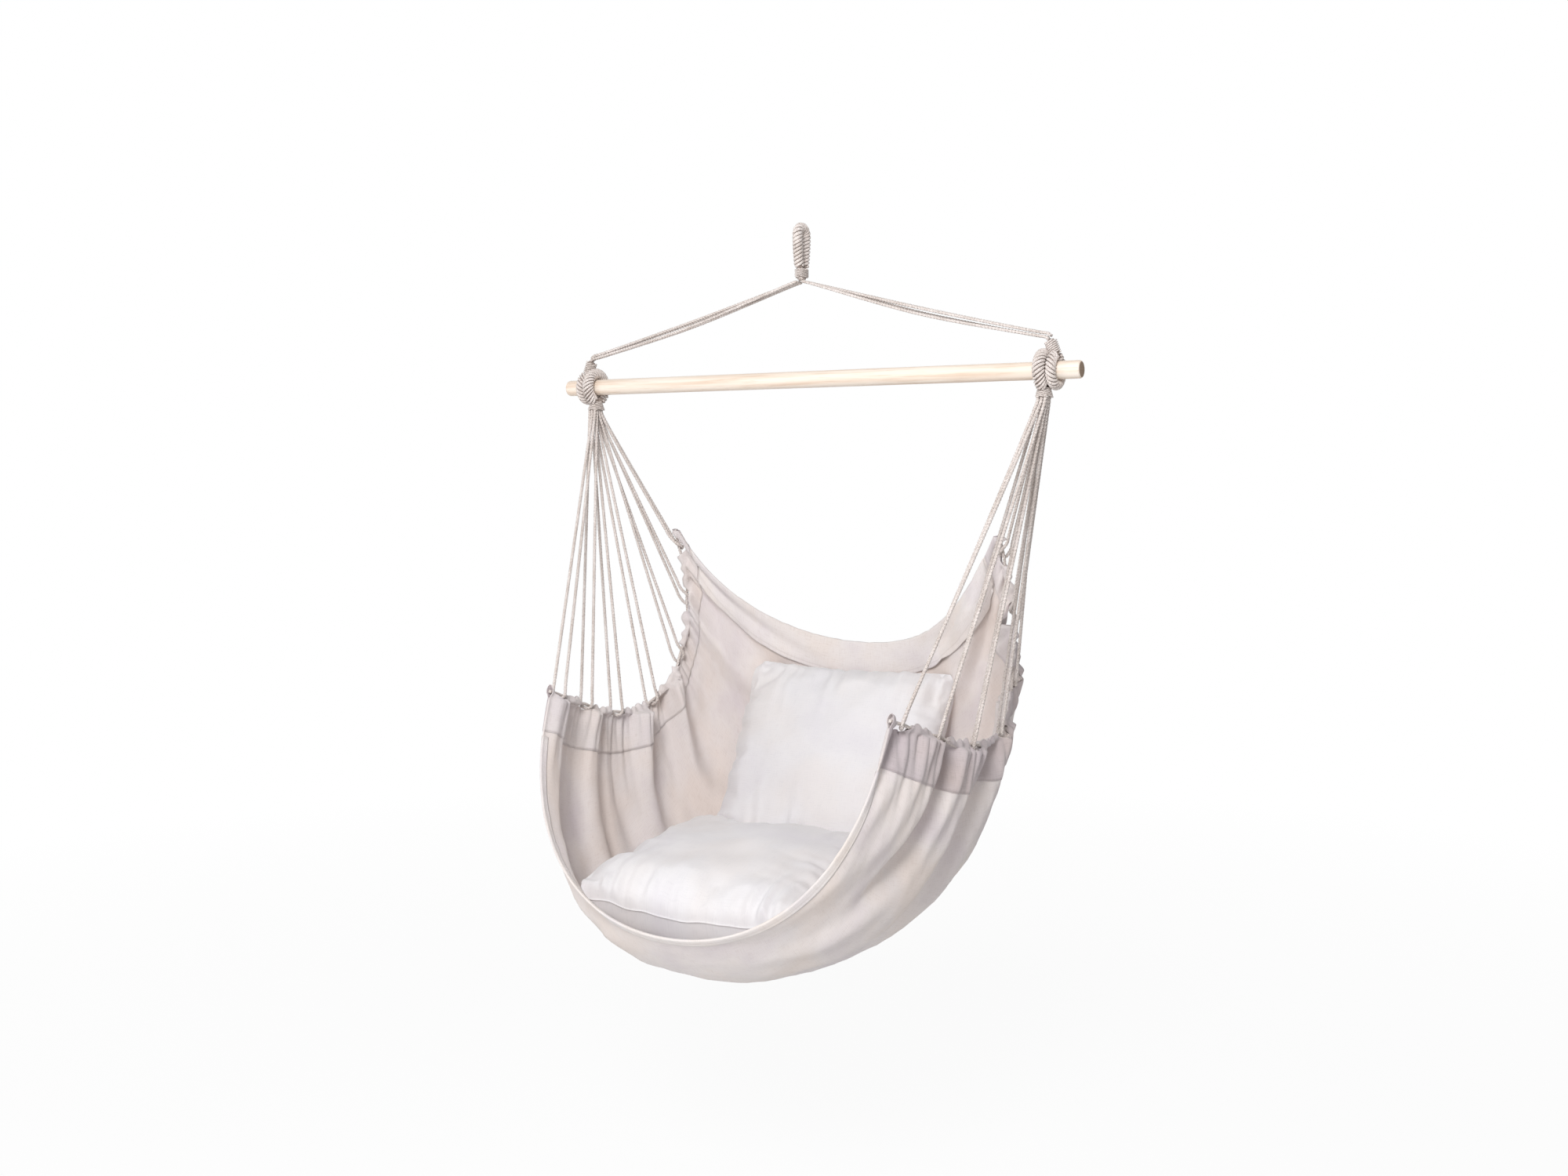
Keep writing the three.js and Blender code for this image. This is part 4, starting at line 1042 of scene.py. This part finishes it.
def edgeDirections(column, step, i):
    point = plainGrid[i][column]
    along = (plainGrid[min(i + 1, lastRow)][column] - plainGrid[max(i - 1, 0)][column]).normalized()
    up = point - plainGrid[i][column + step * clothGrid["edgeColumns"]]
    up = (up - along * up.dot(along)).normalized()
    return up, plainNormals[i][column]


def clewSlots(hand, targets):
    # where each end enters the neck: sorted so that the cords don't cross
    top = Vector((hand * clew["place"], 0, -barDrop + clew["neckBottom"]))
    runs = []
    for n, target in enumerate(targets):
        way = target - top
        runs.append((way.y / -way.z, hand * way.x / -way.z, n))
    runs.sort()
    deep = clewEnd["deep"]
    columns = math.ceil(len(runs) / deep)
    slots = {}
    for c in range(columns):
        group = sorted(runs[c * deep:(c + 1) * deep], key=lambda run: run[1])
        for row, run in enumerate(group):
            x = top.x + hand * (row - (len(group) - 1) / 2) * clew["spacing"]
            slots[run[2]] = Vector((x, (c - (columns - 1) / 2) * clew["spacing"], top.z - clearance))
    return slots


def edgeLine(hand):
    # the edge cord's line, its distances, the loops' places on it and the cloth's directions there
    column = 0 if hand < 0 else lastColumn
    frames = [edgeDirections(column, -hand, i) for i in range(lastRow + 1)]
    core = [plainGrid[i][column] + frames[i][0] * edge["drop"] for i in range(lastRow + 1)]
    lengths = runLengths(core)
    inset = edge["loopHalf"] + cordRadius
    places = [inset + share * (lengths[-1] - 2 * inset) for share in edge["places"]]
    return {"column": column, "frames": frames, "core": core, "lengths": lengths, "places": places}


def edgeDroop(places, distance):
    # between two loops the edge hangs a little lower
    for a, b in zip(places, places[1:]):
        if a <= distance <= b:
            return -edge["droop"] * math.sin(math.pi * (distance - a) / (b - a)) ** 2
    return 0


def alongEdge(distance, column, varies):
    rate, seed = varies
    return wandering(distance * rate, column, seed)


def edgeNotch(places, distance):
    least = min(abs(distance - place) for place in places)
    return math.sqrt(max(1 - (least / edge["notchHalf"]) ** 2, 0))


def sleeveSection(line, face, s):
    # one skin of the channel, from its foot on the canvas up to the top of the cord
    column, frames, lengths, places = (line[key] for key in ("column", "frames", "lengths", "places"))
    step = 1 if column == 0 else -1
    foot = clothGrid["edgeColumns"]
    drop = edge["drop"]
    f = s / edge["stations"] * lastRow
    i = min(int(f), lastRow - 1)
    w = f - i
    distance = lengths[i] + (lengths[i + 1] - lengths[i]) * w
    up = frames[i][0].lerp(frames[i + 1][0], w).normalized()
    normal = frames[i][1].lerp(frames[i + 1][1], w).normalized()
    section = []
    for c in range(foot, -1, -1):
        k = column + step * c
        gap = face * (edge["gap"] + edge["flare"] * (1 - c / foot))
        section.append(onCanvas(i, k, gap).lerp(onCanvas(i + 1, k, gap), w))
    base = plainGrid[i][column].lerp(plainGrid[i + 1][column], w)
    bulge = section[-1] - base
    wander = ruffles["wander"] * alongEdge(distance, column, ruffles["wanderRate"])
    ruffle = math.cos(2 * math.pi * distance / ruffles["pitch"] + wander) / 2
    ruffle += alongEdge(distance, column, ruffles["unevenRate"])
    top = drop + edge["crown"] + ruffles["rise"] * (1 + ruffle)
    top -= edgeNotch(places, distance) * edge["notchDepth"]
    wide = edge["crown"] * (1 + ruffles["pucker"] * ruffle)
    sway = ruffles["sway"] * alongEdge(distance, column, ruffles["swayRate"])
    for n in range(1, edge["steps"] + 1):
        height = top * math.sin(math.pi / 2 * n / edge["steps"])
        if height < drop:
            out = wide * smoothStep(height / drop, 0, 1)
        else:
            out = wide * math.sqrt(max(1 - ((height - drop) / (top - drop)) ** 2, 0))
        lift = height + edgeDroop(places, distance) * min(height / drop, 1)
        aside = sway * smoothStep(height / drop, *ruffles["swayEnds"])
        section.append(base + up * lift + normal * (face * out + aside) + bulge * max(1 - height / drop, 0))
    return section


def makeSleeve(line, side):
    # the two skins meet over the cord except at the notches
    bm = bmesh.new()
    for face in (1, -1):
        stations = [sleeveSection(line, face, s) for s in range(edge["stations"] + 1)]
        addSkin(bm, stations, clothUvs(stations, 0), 0 if face > 0 else 1)
    bmesh.ops.remove_doubles(bm, verts=bm.verts, dist=edge["weld"])
    # the outer skin takes the darker copy, which is painted shade; the inner skin keeps a tone near the
    # canvas
    materials = [innerMaterial, channelShadedMaterial]
    piece = newPiece(f"{side}_edge_sleeve", bm, "seat", materials, [f"{side}_edge_channel"])
    thicken(piece, edge["cloth"])
    return piece


def makeClewCords(line, hand, side):
    # each runs down one side of the edge cord, under it and up the other side
    core, lengths, places = (line[key] for key in ("core", "lengths", "places"))
    top = Vector((hand * clew["place"], 0, -barDrop + clew["neckBottom"]))
    reach = edge["cord"] + clearance + cordRadius
    bends = []
    for place in places:
        middle = pointAt(core, lengths, place)
        before, after = (pointAt(core, lengths, place + end * edge["loopHalf"]) for end in (-1, 1))
        tangent = (after - before).normalized()
        pull = top - middle
        up = (pull - tangent * pull.dot(tangent)).normalized()
        out = (tangent.cross(up) * hand).normalized()
        bends.append((up, [
            pointAt(core, lengths, place + a * edge["loopHalf"]) + up * (b * reach) + out * (c * reach)
            for a, b, c in loopShares
        ]))
    slots = clewSlots(hand, [bend[end] for up, bend in bends for end in (0, -1)])
    drop = upward * -clewEnd["drop"]
    inside = upward * clewEnd["inside"]
    for n, (up, bend) in enumerate(bends):
        runs = []
        for slot, end in ((slots[2 * n], bend[0]), (slots[2 * n + 1], bend[-1])):
            way = (slot - end).normalized()
            leave = end + up * (loopLeave["up"] * reach) + way * (loopLeave["on"] * reach)
            onward = leave.lerp(slot + drop, loopLeave["further"])
            under = (slot + drop).lerp(leave, loopLeave["further"])
            runs.append([slot + inside, slot + drop / 2, under, onward, leave])
        points = runs[0] + bend + list(reversed(runs[1]))
        makeCord(f"{side}_clew_line_{n + 1}", points, laidRadius, "seat", f"{side}_clew_cord_{n + 1}")


for hand, side in sides:
    line = edgeLine(hand)
    rope = []
    for i in range(0, lastRow + 1, edge["cordRows"]):
        droop = edgeDroop(line["places"], line["lengths"][i])
        rope.append(line["core"][i] + line["frames"][i][0] * droop)
    makeCord(f"{side}_edge_rope", rope, edge["cord"], "seat", f"{side}_edge_cord")
    makeSleeve(line, side)
    makeClewCords(line, hand, side)
print("edges sewn and clew cords strung")

# Pillows: cotton covers filled tight, with a sewn seam round them and the creases that it pulls in
seatPillow = {
    "name": "seat_pillow", "y": -0.1815, "z": -0.7999, "lean": 6, "halfX": 0.208, "halfY": 0.186,
    "crown": 0.076, "belly": 0.104, "sag": 0.02, "seed": 5,
}
backPillow = {
    "name": "back_pillow", "y": 0.1039, "z": -0.6712, "lean": 61.6, "halfX": 0.208, "halfY": 0.188,
    "crown": 0.06, "belly": 0.096, "sag": 0, "seed": 17,
}
stuffing = {
    "steps": 72, "pull": 0.013, "blunt": 0.012, "bluntPower": 12, "fullness": 0.35, "fullFrom": 4,
    "room": 0.0016, "headroom": 0.006, "weld": 0.000002,
}
# unevenness: depth, rate and seed
pillowForms = {"soft": (0.011, 7, 8), "dents": (0.0046, 19, 12), "seamWave": (0.007, 26, 30)}
pillowSeam = {"share": 0.011, "half": 0.0008, "waveFrom": 0.6}
keyDigits = 6  # digits of metres that tell two points of a pillow apart
# creases from the long seams and, half as deep, from the side seams
creasing = {
    "pitch": 0.026, "depth": 0.0095, "reach": 0.04, "weights": (1, 0.5), "seedStep": 4,
    "wander": 3, "wanderRate": 12, "size": (0.6, 2), "sizeRates": (19, 4),
}
pillowCloth = {
    "frames": 20, "pressure": 4, "swell": 0.007, "shrink": -0.035, "fixedSteps": 2, "heldSteps": 5,
    "quality": 5, "mass": 0.2, "stiffness": 12, "bending": 0.4,
}


def pillowPlace(pillow):
    tilt = math.radians(pillow["lean"])
    ey = Vector((0, math.cos(tilt), math.sin(tilt)))
    ez = sideways.cross(ey)
    origin = Vector((0, pillow["y"], pillow["z"] - barDrop))
    return lambda x, y, z: origin + sideways * x + ey * y + ez * z


def creases(pillow, x, y, fromX, fromY):
    # short folds run in from the seams and die away
    rate = creasing["wanderRate"]
    least, uneven = creasing["size"]
    along, inwards = creasing["sizeRates"]
    total = 0
    for k, (position, distance) in enumerate(((x, fromY), (y, fromX))):
        seed = pillow["seed"] + creasing["seedStep"] * k
        wander = creasing["wander"] * wanderingAt(x, y, rate, seed)
        size = max(least + uneven * wandering(position * along, distance * inwards, seed + 1), 0)
        wave = math.sin(2 * math.pi * position / creasing["pitch"] + wander)
        total += creasing["weights"][k] * size * wave * math.exp(-distance / creasing["reach"])
    return total * creasing["depth"]


def pillowForm(pillow, name, x, y):
    depth, rate, seed = pillowForms[name]
    return depth * wanderingAt(x, y, rate, pillow["seed"] + seed)


def pillowPoint(pillow, place, canvasBelow, a, b):
    halfX = pillow["halfX"]
    halfY = pillow["halfY"]
    blunt = stuffing["blunt"] * (a * b) ** stuffing["bluntPower"]
    x = a * (halfX - stuffing["pull"] * (1 - b * b) - blunt)
    y = b * (halfY - stuffing["pull"] * (1 - a * a) - blunt)
    outward = max(abs(a), abs(b))
    inner = 1 - pillowSeam["share"]
    puffed = max(1 - (a / inner) ** 2, 0) * max(1 - (b / inner) ** 2, 0)
    full = puffed ** stuffing["fullness"]
    flange = pillowSeam["half"] if outward < 1 else 0
    floor = canvasBelow(x, y) + stuffing["room"]
    wave = pillowForm(pillow, "seamWave", x, y) * smoothStep(outward, pillowSeam["waveFrom"], 1)
    middle = max(pillow["sag"] * ((x / halfX) ** 2 - 1) + wave, floor)
    uneven = pillowForm(pillow, "soft", x, y) + pillowForm(pillow, "dents", x, y)
    uneven += creases(pillow, x, y, halfX - abs(x), halfY - abs(y))
    height = (pillow["crown"] - stuffing["headroom"]) * full + uneven * min(stuffing["fullFrom"] * full, 1)
    low = max(middle - max(pillow["belly"] * full, flange), floor)
    return place(x, y, middle + max(height, flange)), place(x, y, min(low, middle)), (x, y)


def placeKey(point):
    return tuple(round(value, keyDigits) for value in point)


def makePillow(pillow, under):
    place = pillowPlace(pillow)
    down = place(0, 0, 0) - place(0, 0, 1)
    above = 2 * pillow["crown"]

    def canvasBelow(x, y):
        hit = under.ray_cast(place(x, y, above), down)
        return above - hit[3] if hit[0] else -1

    n = stuffing["steps"]
    shares = [math.sin(math.pi / 2 * (2 * i / n - 1)) for i in range(n + 1)]
    points = [[pillowPoint(pillow, place, canvasBelow, a, b) for a in shares] for b in shares]
    uvs = [[point[2] for point in row] for row in points]
    bm = bmesh.new()
    for skin in (0, 1):
        addSkin(bm, [[point[skin] for point in row] for row in points], uvs)
    # the top may swell, more in the middle than near the seam; the underside lies as it is
    fixed = pillowCloth["fixedSteps"]
    free = {}
    for i in range(n + 1):
        for k in range(n + 1):
            rim = min(i, k, n - i, n - k)
            free[placeKey(points[i][k][0])] = smoothStep(rim, fixed, fixed + pillowCloth["heldSteps"])
    bmesh.ops.remove_doubles(bm, verts=bm.verts, dist=stuffing["weld"])
    # at a corner both skins would hang on one vertex that has only two edges
    bmesh.ops.dissolve_verts(bm, verts=[v for v in bm.verts if len(v.link_edges) == 2])
    name = pillow["name"]
    piece = newPiece(
        f"{name}_cushion", bm, name, [pillowMaterial], [f"{name}_cover", f"{name}_insert"],
    )
    return piece, free


def inflate(piece, free):
    mesh = piece.data
    start = [v.co.copy() for v in mesh.vertices]
    loose = [free.get(placeKey(co), 0) for co in start]
    group = piece.vertex_groups.new(name="held")
    for index, share in enumerate(loose):
        group.add([index], 1 - share, "REPLACE")
    cloth = piece.modifiers.new("stuffing", "CLOTH")
    cloth.settings.quality = pillowCloth["quality"]
    cloth.settings.mass = pillowCloth["mass"]
    cloth.settings.tension_stiffness = pillowCloth["stiffness"]
    cloth.settings.compression_stiffness = pillowCloth["stiffness"]
    cloth.settings.bending_stiffness = pillowCloth["bending"]
    cloth.settings.use_pressure = True
    cloth.settings.uniform_pressure_force = pillowCloth["pressure"]
    cloth.settings.shrink_min = pillowCloth["shrink"]
    cloth.settings.vertex_group_mass = "held"
    cloth.settings.effector_weights.gravity = 0
    cloth.point_cache.frame_start = 1
    cloth.point_cache.frame_end = pillowCloth["frames"]
    scene = bpy.context.scene
    for number in range(1, pillowCloth["frames"] + 1):
        scene.frame_set(number)
    shaped = piece.evaluated_get(bpy.context.evaluated_depsgraph_get())
    moved = [v.co.copy() for v in shaped.data.vertices]
    piece.modifiers.remove(cloth)
    piece.vertex_groups.remove(group)
    for vertex, old, new, share in zip(mesh.vertices, start, moved, loose):
        shift = new - old
        limit = pillowCloth["swell"] * share
        if shift.length > limit:
            shift = shift.normalized() * limit
        vertex.co = old + shift
    scene.frame_set(1)


def finishPillow(piece):
    finer = piece.modifiers.new("finer", "SUBSURF")
    finer.levels = 1
    finer.render_levels = 1


def canvasTree():
    points = [onCanvas(i, k, seat["half"]) for i in range(lastRow + 1) for k in range(lastColumn + 1)]
    size = lastColumn + 1
    corners = (0, 1, size + 1, size)
    faces = [[i * size + k + c for c in corners] for i in range(lastRow) for k in range(lastColumn)]
    return BVHTree.FromPolygons(points, faces)


canvasFaces = canvasTree()
for pillow in (seatPillow, backPillow):
    piece, free = makePillow(pillow, canvasFaces)
    inflate(piece, free)
    finishPillow(piece)
    print(pillow["name"], "filled")
